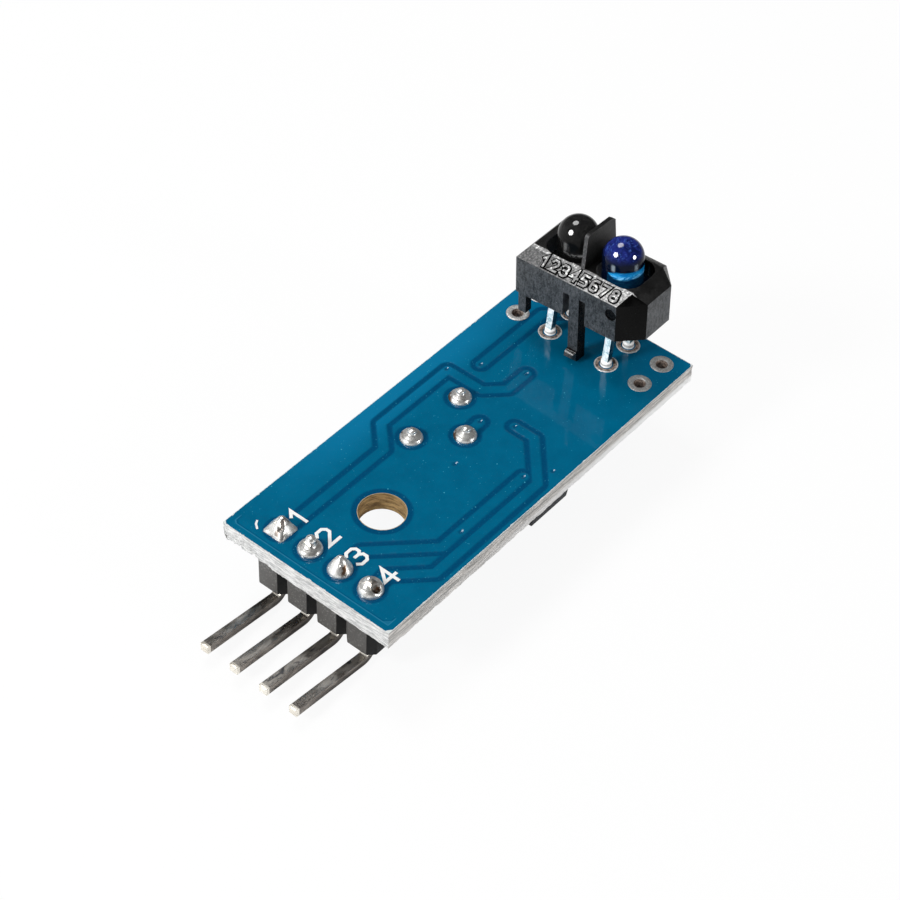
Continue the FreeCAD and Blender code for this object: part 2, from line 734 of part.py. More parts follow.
def make_sensor_housing():
    half_x = dim.sensor_width / 2
    half_y = dim.sensor_length / 2
    rim_x = half_x - dim.sensor_rim_inset
    body = new_body("sensor_housing")

    walls = new_sketch(body, "XY_Plane", "sensor_walls")
    corner = dim.sensor_corner
    outline(walls, [
        (-half_x, half_y), (-half_x, -half_y + corner), (-half_x + corner, -half_y),
        (half_x - corner, -half_y), (half_x, -half_y + corner), (half_x, half_y),
    ])
    pad(body, walls, dim.sensor_rim_height)

    # Bevels along both sides and both ends, up to the rim.
    slope_x = (dim.sensor_rim_height - dim.sensor_wall_height) / dim.sensor_rim_inset
    side_bevels = new_sketch(body, "XZ_Plane", "sensor_side_bevels")
    for side in (-1, 1):
        outline(side_bevels, [
            (half_x * side, dim.sensor_wall_height),
            (rim_x * side, dim.sensor_rim_height),
            (rim_x * side, dim.sensor_rim_height + overrun),
            ((half_x + overrun) * side, dim.sensor_rim_height + overrun),
            ((half_x + overrun) * side, dim.sensor_wall_height - slope_x * overrun),
        ])
    pocket(body, side_bevels, dim.sensor_length * 2, both_ways=True)
    end_bevels = new_sketch(body, "YZ_Plane", "sensor_end_bevels")
    for side, inset in ((-1, dim.sensor_rim_inset), (1, dim.sensor_far_inset)):
        slope = (dim.sensor_rim_height - dim.sensor_wall_height) / inset
        outline(end_bevels, [
            (half_y * side, dim.sensor_wall_height),
            ((half_y - inset) * side, dim.sensor_rim_height),
            ((half_y - inset) * side, dim.sensor_rim_height + overrun),
            ((half_y + overrun) * side, dim.sensor_rim_height + overrun),
            ((half_y + overrun) * side, dim.sensor_wall_height - slope * overrun),
        ])
    pocket(body, end_bevels, dim.sensor_width * 2, both_ways=True)

    # The partition stands between the two lenses.
    near_x = dim.partition_corner_drop - rim_x
    partition = new_sketch(body, "XZ_Plane", "sensor_partition")
    outline(partition, [
        (-rim_x, dim.sensor_wall_height),
        (rim_x, dim.sensor_wall_height),
        (rim_x, dim.sensor_rim_height),
        (rim_x - dim.partition_taper, dim.partition_height - dim.partition_shoulder),
        (rim_x - dim.partition_slope_run, dim.partition_height - dim.partition_slope_drop),
        (near_x + dim.partition_corner, dim.partition_height),
        (near_x, dim.partition_height - dim.partition_corner_drop),
        (-rim_x, dim.sensor_rim_height),
    ], arcs={5: (dim.partition_corner, -1)})
    pad(body, partition, dim.partition_thickness, both_ways=True)

    # A pocket for each lens block from below, and a round-cornered well above it.
    pockets = new_sketch(body, "XY_Plane", "sensor_pockets")
    wells = new_sketch(body, "XY_Plane", "sensor_wells")
    half_well = dim.well_length / 2
    near = dim.well_from_middle
    far = dim.well_to_end
    for side in (-1, 1):
        low = near if side > 0 else -far
        high = far if side > 0 else -near
        rectangle(pockets, -half_well, half_well, low, high)
    pocket(body, pockets, dim.lens_block_top, reversed_way=True)
    for side in (-1, 1):
        low = near if side > 0 else -far
        high = far if side > 0 else -near
        round_rectangle(wells, -half_well, half_well, low, high, dim.well_corner)
    pocket(body, wells, dim.sensor_rim_height, reversed_way=True)

    # Slots free a springy clip in the middle of each long wall.
    slots = new_sketch(body, "YZ_Plane", "sensor_clip_slots")
    half_clip = dim.clip_width / 2
    rectangle(slots, half_clip, half_clip + dim.clip_slot, -overrun, dim.clip_slot_height)
    rectangle(slots, -half_clip - dim.clip_slot, -half_clip, -overrun, dim.clip_slot_height)
    pocket(body, slots, dim.sensor_width * 2, both_ways=True)
    clips = new_sketch(body, "XZ_Plane", "sensor_clips")
    foot = -(dim.sensor_standoff - dim.clip_board_gap)
    for side in (-1, 1):
        outside = half_x * side
        inside = (half_x - dim.clip_thickness) * side
        hook = (half_x + dim.clip_hook) * side
        outline(clips, [
            (outside, overlap),
            (inside, overlap),
            (inside, foot),
            (outside, foot),
            (hook, foot + dim.clip_hook),
            (hook, foot + dim.clip_hook * 2),
            (outside, foot + dim.clip_hook * 2.25),
        ])
    pad(body, clips, dim.clip_width, both_ways=True)

    # Locating pegs under the corners of the square end.
    pegs = new_sketch(body, "XY_Plane", "sensor_pegs")
    for side in (-1, 1):
        low = -half_x if side < 0 else half_x - dim.peg_side
        high = -half_x + dim.peg_side if side < 0 else half_x
        rectangle(pegs, low, high, half_y - dim.peg_inset - dim.peg_side, half_y - dim.peg_inset)
    pad(body, pegs, dim.peg_length, reversed_way=True)

    # The mark of an ejector pin, a shallow round dent in the front wall.
    ejector = new_sketch(body, "YZ_Plane", "sensor_ejector_mark", -half_x)
    mark = dim.ejector_diameter / 2
    circle(ejector, -half_y + corner + mark, dim.sensor_wall_height - mark * 2, mark)
    pocket(body, ejector, dim.ejector_depth, reversed_way=True)
    lean(body)
    return body


def make_lens(name, side, leads):
    """An epoxy block in the housing with a domed lens, moulded round its leads."""
    body = new_body(name + "_moulding")
    play = dim.lens_block_play
    half_x = dim.well_length / 2 - play
    base = new_sketch(body, "XY_Plane", name + "_block", dim.lens_block_floor)
    low = dim.well_from_middle + play
    high = dim.well_to_end - play
    if side < 0:
        low, high = -high, -low
    rectangle(base, -half_x, half_x, low, high)
    pad(body, base, dim.lens_block_top - dim.lens_block_floor - play)
    radius = dim.lens_diameter / 2
    centre = dim.lens_spacing / 2 * side
    neck = new_sketch(body, "XY_Plane", name + "_neck", dim.lens_block_floor)
    circle(neck, 0, centre, radius)
    pad(body, neck, dim.lens_centre_height - dim.lens_block_floor)
    dome = body.newObject("PartDesign::AdditiveSphere", name + "_dome")
    bind(dome, Radius=radius)
    dome.setExpression("AttachmentOffset.Base.y", centre.formula)
    dome.setExpression("AttachmentOffset.Base.z", dim.lens_centre_height.formula)
    plane = [item for item in body.Origin.OriginFeatures if item.Role == "XY_Plane"][0]
    dome.AttachmentSupport = [(plane, "")]
    dome.MapMode = "FlatFace"
    lean(body)
    return cut(name, body, together(name + "_lead_tool", leads))


def make_lead(name, x, y):
    """A square lead, cranked a little between the board and the lens block."""
    half = dim.lead_side / 2
    ahead = dim.sensor_ahead
    low = under_face - dim.lead_below_board
    crank_low = dim.lead_straight
    crank_high = dim.sensor_standoff - dim.lead_straight
    top = dim.sensor_standoff + dim.lens_block_floor + dim.lead_grip
    body = new_body(name)
    side = new_sketch(body, "XZ_Plane", name + "_side")
    outline(side, [
        (-half, low), (half, low), (half, crank_low), (half + ahead, crank_high),
        (half + ahead, top), (ahead - half, top), (ahead - half, crank_high), (-half, crank_low),
    ])
    pad(body, side, dim.lead_side, both_ways=True)
    place(body, x, y, 0)
    return body


def make_sensor():
    housing = make_sensor_housing()
    pieces = [housing]
    solders = []
    number = 0
    for name, side, places in (("detector", 1, detector_places), ("emitter", -1, emitter_places)):
        leads = []
        for end, (x, y) in enumerate(places, 1):
            number += 1
            lead = make_lead("%s_lead_%d" % (name, end), x, y)
            leads.append(lead)
            rim = dim.sensor_land / 2
            solders.append(solder_joint(
                "sensor_solder_%d" % number, x, y, None, dim.sensor_fill_side, lead,
                [(rim, 0), (0, dim.sensor_solder_top)],
                [(rim, 0), (0, dim.sensor_solder_height)]))
        pieces.append(make_lens(name + "_lens", side, leads))
        pieces += leads
    return pieces + solders


# Trimming potentiometer: a housing with a rotor that a screwdriver turns.

def stepped_disc(sketch, small, large, middle_angle, half_angle):
    """A disc whose radius is larger over one sector."""
    first = middle_angle - half_angle
    last = middle_angle + half_angle
    outline(sketch, [
        along(small, first), along(large, first), along(large, middle_angle),
        along(large, last), along(small, last), along(small, middle_angle + 180.0),
    ], arcs={1: (large, -1), 2: (large, -1), 4: (small, -1), 5: (small, -1)})


element_low = -(dim.trimmer_foot + dim.element_thickness)
chamber_floor = element_low - dim.rotor_chamber
stop_half_angle = as_size(180.0) - dim.rotor_travel - dim.rotor_lug_half_angle - dim.rotor_stop_margin
lug_angle = as_size(90.0)


def make_trimmer_housing():
    half_x = dim.trimmer_length / 2
    half_y = dim.trimmer_depth / 2
    body = new_body("trimmer_housing")
    shell = new_sketch(body, "XY_Plane", "trimmer_shell", -dim.trimmer_foot)
    rectangle(shell, -half_x, half_x, -half_y, half_y)
    case = pad(body, shell, dim.trimmer_height - dim.trimmer_foot, reversed_way=True)
    doc.recompute()
    upright = edges_where(case, lambda m, d: abs(d.z) > 1.0)
    soften(body, "Fillet", case, upright, dim.trimmer_corner)
    feet = new_sketch(body, "XY_Plane", "trimmer_feet", -dim.trimmer_foot - overlap)
    inset = dim.trimmer_foot_inset
    foot = dim.trimmer_foot_side
    for side_x in (-1, 1):
        for side_y in (-1, 1):
            low_x = -half_x + inset if side_x < 0 else half_x - inset - foot
            low_y = -half_y + inset if side_y < 0 else half_y - inset - foot
            rectangle(feet, low_x, low_x + foot, low_y, low_y + foot)
    pad(body, feet, dim.trimmer_foot + overlap)
    seat = new_sketch(body, "XY_Plane", "trimmer_element_seat", overrun)
    seat_x = dim.element_length / 2 + dim.element_play
    seat_y = dim.element_depth / 2 + dim.element_play
    rectangle(seat, -seat_x, seat_x, -seat_y, seat_y)
    pocket(body, seat, overrun - element_low)
    chamber = new_sketch(body, "XY_Plane", "trimmer_chamber", element_low)
    stepped_disc(chamber, dim.rotor_radius + dim.rotor_play,
                 dim.rotor_radius + dim.rotor_lug + dim.rotor_play, lug_angle,
                 as_size(180.0) - stop_half_angle)
    pocket(body, chamber, element_low - chamber_floor)
    bore = new_sketch(body, "XY_Plane", "trimmer_bore", chamber_floor)
    circle(bore, 0, 0, dim.journal_radius + dim.journal_play)
    pocket(body, bore, dim.trimmer_height)
    recess = new_sketch(body, "XY_Plane", "trimmer_recess", -dim.trimmer_height)
    circle(recess, 0, 0, dim.rotor_recess_radius)
    pocket(body, recess, dim.rotor_recess, reversed_way=True)
    place(body, trimmer_x, trimmer_y, under_face)
    return body


def make_rotor():
    body = new_body("trimmer_rotor")
    flange_low = chamber_floor + dim.journal_play
    flange = new_sketch(body, "XY_Plane", "rotor_flange", flange_low)
    stepped_disc(flange, dim.rotor_radius, dim.rotor_radius + dim.rotor_lug, lug_angle,
                 dim.rotor_lug_half_angle)
    pad(body, flange, dim.rotor_flange)
    journal_end = dim.rotor_sunk - dim.trimmer_height
    journal = new_sketch(body, "XY_Plane", "rotor_journal", flange_low)
    circle(journal, 0, 0, dim.journal_radius)
    pad(body, journal, flange_low - journal_end, reversed_way=True)
    cross = new_sketch(body, "XY_Plane", "rotor_slot", journal_end)
    wide = dim.slot_width / 2
    far = dim.slot_length / 2
    outline(cross, [
        (far, -wide), (far, wide), (wide, wide), (wide, far), (-wide, far), (-wide, wide),
        (-far, wide), (-far, -wide), (-wide, -wide), (-wide, -far), (wide, -far), (wide, -wide),
    ])
    pocket(body, cross, dim.slot_depth, reversed_way=True)
    place(body, trimmer_x, trimmer_y, under_face)
    return body


def make_wiper():
    """A spring contact on the rotor that sweeps the element's track."""
    body = new_body("trimmer_wiper")
    seat = chamber_floor + dim.journal_play + dim.rotor_flange
    ring = new_sketch(body, "XY_Plane", "wiper_ring", seat)
    circle(ring, 0, 0, dim.wiper_outer)
    circle(ring, 0, 0, dim.wiper_inner)
    pad(body, ring, dim.wiper_thickness)
    finger = new_sketch(body, "YZ_Plane", "wiper_finger")
    strip = dim.wiper_thickness
    contact = element_low - dim.wiper_gap
    bend = dim.wiper_reach - dim.wiper_tip
    inset = dim.wiper_root_inset
    outline(finger, [
        (inset - dim.wiper_outer, seat + strip / 2),
        (-dim.wiper_inner - inset, seat + strip / 2),
        (-dim.wiper_inner - inset, seat + strip),
        (bend, contact - strip),
        (dim.wiper_reach, contact - strip * 1.5),
        (dim.wiper_reach, contact - strip / 2),
        (bend, contact),
        (-dim.wiper_inner - inset * 2, seat + strip * 2),
    ])
    pad(body, finger, dim.wiper_width, both_ways=True)
    place(body, trimmer_x, trimmer_y, under_face)
    return body


def make_trimmer():
    pins = []
    solders = []
    radius = dim.trimmer_pin_diameter / 2
    pin_low = under_face - dim.trimmer_foot
    for number, (x, y) in enumerate(trimmer_places, 1):
        pins.append(rod("trimmer_pin_%d" % number, x, y, pin_low, dim.trimmer_pin_proud, radius))
        rim = dim.trimmer_land / 2
        solders.append(solder_joint(
            "trimmer_solder_%d" % number, x, y, None, dim.trimmer_fill_side, pins[-1],
            [(rim, 0), (0, dim.trimmer_solder_height)]))
    element = centred_block("trimmer_element", trimmer_x, trimmer_y, dim.element_length,
                            dim.element_depth, under_face + element_low, under_face - dim.trimmer_foot)
    return [make_trimmer_housing(), make_rotor(), make_wiper(), element] + pins + solders


# Comparator: an eight-lead moulded package.

def make_comparator():
    body = new_body("comparator_body")
    half_x = dim.comparator_width / 2
    half_y = dim.comparator_length / 2
    middle = land_bottom - dim.comparator_standoff - dim.comparator_height / 2
    for name, upward in (("comparator_upper", False), ("comparator_lower", True)):
        waist = new_sketch(body, "XY_Plane", name, middle)
        rectangle(waist, -half_x, half_x, -half_y, half_y)
        pad(body, waist, dim.comparator_height / 2, reversed_way=upward,
            taper=-dim.comparator_draft)
    low = middle - dim.comparator_height / 2
    mark = new_sketch(body, "XY_Plane", "comparator_mark", low)
    circle(mark, -half_x + dim.comparator_mark, half_y - dim.comparator_mark,
           dim.comparator_mark_radius)
    pocket(body, mark, dim.comparator_mark_depth, reversed_way=True)
    place(body, dim.comparator_from_hole, comparator_y, 0)

    leads = new_body("comparator_leads")
    leads.AllowCompound = True
    metal = dim.comparator_lead_thickness
    span = dim.comparator_span / 2
    first_y = spread(comparator_leads, dim.comparator_lead_pitch, 0)
    knee = span - dim.comparator_foot
    slant = dim.comparator_knee
    side = new_sketch(leads, "XZ_Plane", "comparator_lead_side", -first_y)
    foot_top = land_bottom
    waist_top = middle + metal / 2
    outline(side, [
        (half_x, waist_top - metal),
        (knee - slant, waist_top - metal),
        (knee + slant, foot_top - metal),
        (span, foot_top - metal),
        (span, foot_top),
        (knee - slant, foot_top),
        (knee - slant - metal, waist_top),
        (half_x, waist_top),
    ])
    first = pad(leads, side, dim.comparator_lead_width, both_ways=True)
    row = leads.newObject("PartDesign::LinearPattern", "comparator_lead_row")
    row.Originals = [first]
    row.Direction = (side, ["N_Axis"])
    bind(row, Length=dim.comparator_lead_pitch * (comparator_leads - 1),
         Occurrences=dim.comparator_lead_count)
    leads.Tip = row
    place(leads, dim.comparator_from_hole, comparator_y, 0)
    other = doc.addObject("Part::Mirroring", "comparator_leads_far")
    other.Source = leads
    other.Normal = FreeCAD.Vector(1, 0, 0)
    other.setExpression("Base.x", dim.comparator_from_hole.formula)
    return [body, together("comparator_lead_set", [leads, other])]


# Two-ended chip parts.

def chip(name, x, y, height):
    """A ceramic chip in two wrap-round metal caps."""
    wall = dim.chip_cap_wall
    top = land_bottom
    half = dim.chip_length / 2
    ceramic = centred_block(name, x, y, dim.chip_length - wall * 2, dim.chip_width - wall * 2,
                            top - height + wall, top - wall)
    caps = []
    for side in (-1, 1):
        centre = x + (half - dim.chip_cap_length / 2) * side
        caps.append(centred_block("%s_cap_%d" % (name, side + 1), centre, y, dim.chip_cap_length,
                                  dim.chip_width, top - height, top))
    core = centred_block(name + "_core", x, y, dim.chip_length - wall * 2, dim.chip_width - wall * 2,
                         top - height + wall, top - wall)
    return [ceramic, cut(name + "_caps", together(name + "_cap_pair", caps), core)]


def light(name, x, y):
    """A chip light: a small board with a clear block on it."""
    top = land_bottom
    base = centred_block(name + "_base", x, y, dim.chip_length, dim.chip_width,
                         top - dim.light_base_height, top)
    lens = new_body(name + "_lens")
    seat = new_sketch(lens, "XY_Plane", name + "_lens_seat")
    rectangle(seat, -dim.light_lens_length / 2, dim.light_lens_length / 2,
              -dim.chip_width / 2, dim.chip_width / 2)
    pad(lens, seat, dim.light_lens_height, reversed_way=True, taper=-dim.light_lens_draft)
    place(lens, x, y, top - dim.light_base_height)
    return [base, lens]


def make_chips():
    pieces = []
    for name, (x, y) in chip_places().items():
        if name.endswith("light"):
            pieces += light(name, x, y)
        elif name.startswith("resistor"):
            pieces += chip(name, x, y, dim.resistor_height)
        else:
            pieces += chip(name, x, y, dim.capacitor_height)
    return pieces


# Build everything, check it and write it out.

pieces = [make_circuit_board(), make_spare_eyelets(), make_surface_lands()]
pieces += make_header()
pieces += make_sensor()
pieces += make_trimmer()
pieces += make_comparator()
pieces += make_chips()
doc.recompute()

for item in pieces:
    item.Label = item.Name
doc.recompute()

faults = []
for item in doc.Objects:
    if "Invalid" in item.State or "Error" in item.State:
        faults.append("%s is %s" % (item.Name, item.State))
for item in pieces:
    if item.Shape.isNull() or not item.Shape.isValid() or not item.Shape.Solids:
        faults.append("%s has no sound shape" % item.Name)
if faults:
    raise RuntimeError("; ".join(faults))

os.makedirs("parts", exist_ok=True)
for item in pieces:
    item.Shape.exportStep("parts/%s.step" % item.Label)
print("%d nodes written" % len(pieces))
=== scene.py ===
import math

import bmesh
import bpy
import numpy as np
from mathutils import Matrix, Vector, noise
from mathutils.geometry import delaunay_2d_cdt


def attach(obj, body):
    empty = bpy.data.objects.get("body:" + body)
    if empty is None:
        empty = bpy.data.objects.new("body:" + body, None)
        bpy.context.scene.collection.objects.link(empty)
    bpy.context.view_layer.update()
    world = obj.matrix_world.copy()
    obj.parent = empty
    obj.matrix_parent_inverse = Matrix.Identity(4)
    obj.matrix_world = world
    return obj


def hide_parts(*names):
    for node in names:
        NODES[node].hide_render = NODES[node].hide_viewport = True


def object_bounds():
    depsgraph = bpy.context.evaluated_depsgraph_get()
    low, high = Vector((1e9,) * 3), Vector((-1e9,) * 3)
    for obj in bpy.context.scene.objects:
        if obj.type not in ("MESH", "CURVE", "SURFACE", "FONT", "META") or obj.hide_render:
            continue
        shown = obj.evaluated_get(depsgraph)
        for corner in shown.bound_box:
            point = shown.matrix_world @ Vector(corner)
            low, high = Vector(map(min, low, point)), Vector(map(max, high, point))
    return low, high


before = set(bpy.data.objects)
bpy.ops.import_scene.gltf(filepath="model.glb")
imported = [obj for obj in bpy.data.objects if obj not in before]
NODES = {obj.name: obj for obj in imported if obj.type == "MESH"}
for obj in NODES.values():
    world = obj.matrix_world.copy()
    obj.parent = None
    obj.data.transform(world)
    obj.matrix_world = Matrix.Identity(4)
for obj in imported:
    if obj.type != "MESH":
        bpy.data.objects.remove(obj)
cad_box = [list(corner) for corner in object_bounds()]

MM = 0.001

# Places on the board, in millimetres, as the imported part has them.
BOARD_LOW_X, BOARD_HIGH_X = -7.45, 24.55
BOARD_HALF_Y = 7.0
BOARD_LOW_Z = -1.5
HOLE_RADIUS = 1.6
HEADER = [(-5.5, 3.81), (-5.5, 1.27), (-5.5, -1.27), (-5.5, -3.81)]
TRIMMER = [(6.3, 2.92), (8.84, 0.38), (11.38, 2.92)]
LEADS = [(20.63, 2.45), (23.17, 2.45), (20.63, -2.45), (23.17, -2.45)]
SPARES = [(20.63, 5.33), (20.63, -5.33), (23.17, 5.33), (23.17, -5.33)]
SPARE_DRILL = 0.475
TRACE_HALF = 0.35
TRACE_GAP = 0.38
TOP_TRACES = [
    [(-5.5, 3.6), (4.3, 3.6), (6.0, 5.3), (12.95, 5.3)],
    [(12.95, 5.3), (12.95, 2.3), (14.2, 1.05), (16.25, 1.05)],
    [(14.85, 3.95), (21.75, 3.95), (23.17, 2.45)],
    [(-5.5, -1.27), (-3.4, -1.27), (0.2, -4.87), (8.5, -4.87)],
    [(-5.5, -3.81), (-3.9, -3.81), (-1.75, -5.95), (8.6, -5.95), (11.73, -3.2), (11.73, -1.55)],
    [(8.84, 0.38), (10.5, 0.47)],
]
VIAS = [(6.38, -0.78), (1.99, -4.91), (8.45, -4.88), (12.95, 5.42), (14.85, 3.94),
        (16.22, 1.03), (10.55, 0.48), (11.7, -1.55), (10.15, -6.0)]
UNDER_TRACES = [
    [(-5.5, 3.81), (-3.2, 3.81), (-2.35, 4.6), (-2.35, 5.5)],
    [(-5.5, -3.81), (-3.2, -3.81), (-2.35, -4.6), (-2.35, -5.5)],
    [(-0.05, 5.5), (2.0, 5.5), (3.0, 4.4)],
    [(-0.05, -5.5), (1.6, -5.5), (8.3, -5.5), (8.45, -4.88)],
    [(5.0, 4.4), (5.5, 5.2), (6.38, 6.2), (12.9, 6.2), (12.95, 5.42)],
    [(14.6, 4.4), (13.2, 4.4), (12.6, 3.9), (12.0, 3.5)],
    [(16.6, 4.4), (17.4, 4.4)],
    [(19.4, 4.4), (20.63, 2.45)],
    [(14.6, 2.2), (12.3, 2.2)],
    [(16.6, 2.2), (18.2, 2.2), (20.63, 2.45)],
    [(14.6, 0.0), (13.4, 0.0), (11.7, -1.55)],
    [(16.6, 0.0), (18.4, -1.2), (20.63, -2.45)],
    [(14.6, -2.2), (13.2, -3.6), (10.15, -6.0)],
    [(16.6, -2.2), (18.0, -2.6), (23.17, -2.45)],
    [(14.6, -4.4), (13.2, -5.4), (12.0, -6.2), (4.0, -6.2)],
    [(16.6, -4.4), (18.2, -5.6), (24.0, -5.9)],
]


# Meshes.

def in_scene(name, data):
    obj = bpy.data.objects.new(name, data)
    bpy.context.scene.collection.objects.link(obj)
    return obj


def placed(name, mesh, body="module", replaces=()):
    """Puts a mesh in the scene, riding on a body of the part."""
    piece = in_scene(name, mesh)
    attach(piece, body)
    if replaces:
        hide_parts(*replaces)
    return piece


def new_piece(name, points, faces, materials, replaces=(), smooth=True, kinds=None,
              attributes=None):
    """A piece from points in millimetres; kinds gives each face's material."""
    mesh = bpy.data.meshes.new(name)
    mesh.from_pydata([tuple(c * MM for c in p) for p in points], [], faces)
    for item in materials:
        mesh.materials.append(item)
    if kinds is not None:
        mesh.polygons.foreach_set("material_index", np.asarray(kinds, np.int32))
    for key, values in (attributes or {}).items():
        layer = mesh.attributes.new(key, "FLOAT", "POINT")
        layer.data.foreach_set("value", np.asarray(values, np.float32))
    mesh.polygons.foreach_set("use_smooth", [smooth] * len(mesh.polygons))
    mesh.update()
    return placed(name, mesh, replaces=replaces)


def sharpen(piece, degrees):
    """Marks edges sharper than an angle, so that smooth shading stops at them."""
    mesh = bmesh.new()
    mesh.from_mesh(piece.data)
    limit = math.radians(degrees)
    for edge in mesh.edges:
        edge.smooth = len(edge.link_faces) == 2 and edge.calc_face_angle(0.0) < limit
    mesh.to_mesh(piece.data)
    mesh.free()


def ring_faces(first, second, count):
    """Faces between two rings of points, each given by the number of its first point."""
    return [[first + k, second + k, second + (k + 1) % count, first + (k + 1) % count]
            for k in range(count)]


def fan(tip, first, count):
    """Triangles from a tip to a ring of points."""
    return [[tip, first + k, first + (k + 1) % count] for k in range(count)]


def stack_faces(top, first, end, count, bottom):
    """Faces of a closed stack of rings, whose points go from first to end, between two tips."""
    faces = fan(top, first, count)
    for ring in range(first, end - count, count):
        faces += ring_faces(ring, ring + count, count)
    return faces + [face[::-1] for face in fan(bottom, end - count, count)]


def rumple(points, scale, seed=0.0):
    """Smooth noise from -1 to 1 at points in millimetres."""
    shift = Vector((seed, seed * 1.7, seed * 0.3))
    return np.array([noise.noise(Vector(p) * scale + shift) for p in points])


def ramp(value, low, high):
    """Smooth step from 0 at low to 1 at high."""
    t = np.clip((value - low) / (high - low), 0.0, 1.0)
    return t * t * (3 - 2 * t)


def line_distance(points, line):
    """Distance of each point to a line of points."""
    best = np.full(len(points), np.inf)
    for start, end in zip(line, line[1:]):
        a = np.array(start)
        d = np.array(end) - a
        t = np.clip(((points - a) @ d) / (d @ d), 0, 1)
        best = np.minimum(best, np.linalg.norm(points - a - t[:, None] * d, axis=1))
    return best


def trace_distance(points, traces):
    return np.min([line_distance(points, line) for line in traces], axis=0)


def spot_distance(points, places):
    return np.min([np.hypot(points[:, 0] - x, points[:, 1] - y) for x, y in places], axis=0)


def turns(count):
    """Equal turns round a circle."""
    return np.arange(count) * 2 * math.pi / count


def circle_points(x, y, radius, count):
    return [(x + radius * math.cos(turn), y + radius * math.sin(turn)) for turn in turns(count)]


# Materials.

def grey(value):
    return (value, value, value)


class Nodes:
    """A short way to write a node tree. An input takes a number, a colour or a node's output."""

    def __init__(self, owner, coordinates="Object"):
        owner.use_nodes = True
        self.owner = owner
        self.tree = owner.node_tree
        self.place = self.add("TexCoord", output=coordinates)

    def link(self, source, target):
        if isinstance(source, tuple) and target.type == "RGBA":
            source += (1.0,)
        if isinstance(source, (int, float, tuple)):
            target.default_value = source
        else:
            self.tree.links.new(source, target)

    def add(self, kind, inputs=None, output=0, **settings):
        """Adds a node with its inputs, and gives one of its outputs."""
        node = self.tree.nodes.new("ShaderNode" + kind)
        for key, value in settings.items():
            setattr(node, key, value)
        for key, value in (inputs or {}).items():
            self.link(value, node.inputs[key])
        return node.outputs[output]

    def stretched(self, x=1.0, y=1.0, z=1.0):
        """Object coordinates in millimetres, stretched."""
        return self.add("Mapping", {"Vector": self.place, "Scale": (x / MM, y / MM, z / MM)})

    def axis(self, name):
        """One of the object coordinates, in millimetres."""
        return self.add("SeparateXYZ", {0: self.stretched()}, name)

    def noise(self, scale, detail=3.0, rough=0.55, stretch=(1.0, 1.0, 1.0), distortion=0.0):
        return self.add("TexNoise", {"Vector": self.stretched(*stretch), "Scale": scale, "Detail": detail,
                                     "Roughness": rough, "Distortion": distortion})

    def cells(self, scale):
        return self.add("TexVoronoi", {"Vector": self.stretched(), "Scale": scale})

    def band(self, value, low, high, start=0.0, end=1.0):
        """Smooth step from start at low to end at high."""
        return self.add("MapRange", {"Value": value, "From Min": low, "From Max": high, "To Min": start,
                                     "To Max": end}, interpolation_type="SMOOTHSTEP")

    def math(self, operation, a, b):
        return self.add("Math", {0: a, 1: b}, operation=operation)

    def times(self, a, b):
        return self.math("MULTIPLY", a, b)

    def plus(self, a, b):
        return self.math("ADD", a, b)

    def mix(self, factor, a, b):
        """Colour a at factor 0 and b at factor 1."""
        return self.add("Mix", {"Factor": factor, 6: a, 7: b}, 2, data_type="RGBA")

    def blend(self, factor, a, b):
        """Shader a at factor 0 and b at factor 1."""
        return self.add("MixShader", {"Fac": factor, 1: a, 2: b})

    def attribute(self, name):
        return self.add("Attribute", output="Fac", attribute_name=name)

    def ray(self, name):
        return self.add("LightPath", output=name)

    def bump(self, height, strength, distance, below=None):
        """A bump with its distance in millimetres, over another one."""
        inputs = {"Height": height, "Strength": strength, "Distance": distance * MM}
        if below is not None:
            inputs["Normal"] = below
        return self.add("Bump", inputs)

    def finish(self, colour, roughness, normal, **others):
        """Fills the shader's inputs, their names written with underscores, and gives the material."""
        inputs = {"Base_Color": colour, "Roughness": roughness, "Normal": normal, **others}
        for key, value in inputs.items():
            self.link(value, self.tree.nodes["Principled BSDF"].inputs[key.replace("_", " ")])
        return self.owner

    def finish_plain(self, surface):
        """Puts a surface in place of the shader that the tree began with."""
        output = next(node for node in self.tree.nodes if node.type.startswith("OUTPUT"))
        target = output.inputs["Surface"]
        self.tree.nodes.remove(target.links[0].from_node)
        self.link(surface, target)
        return self.owner


def material_nodes(name):
    return Nodes(bpy.data.materials.new(name))


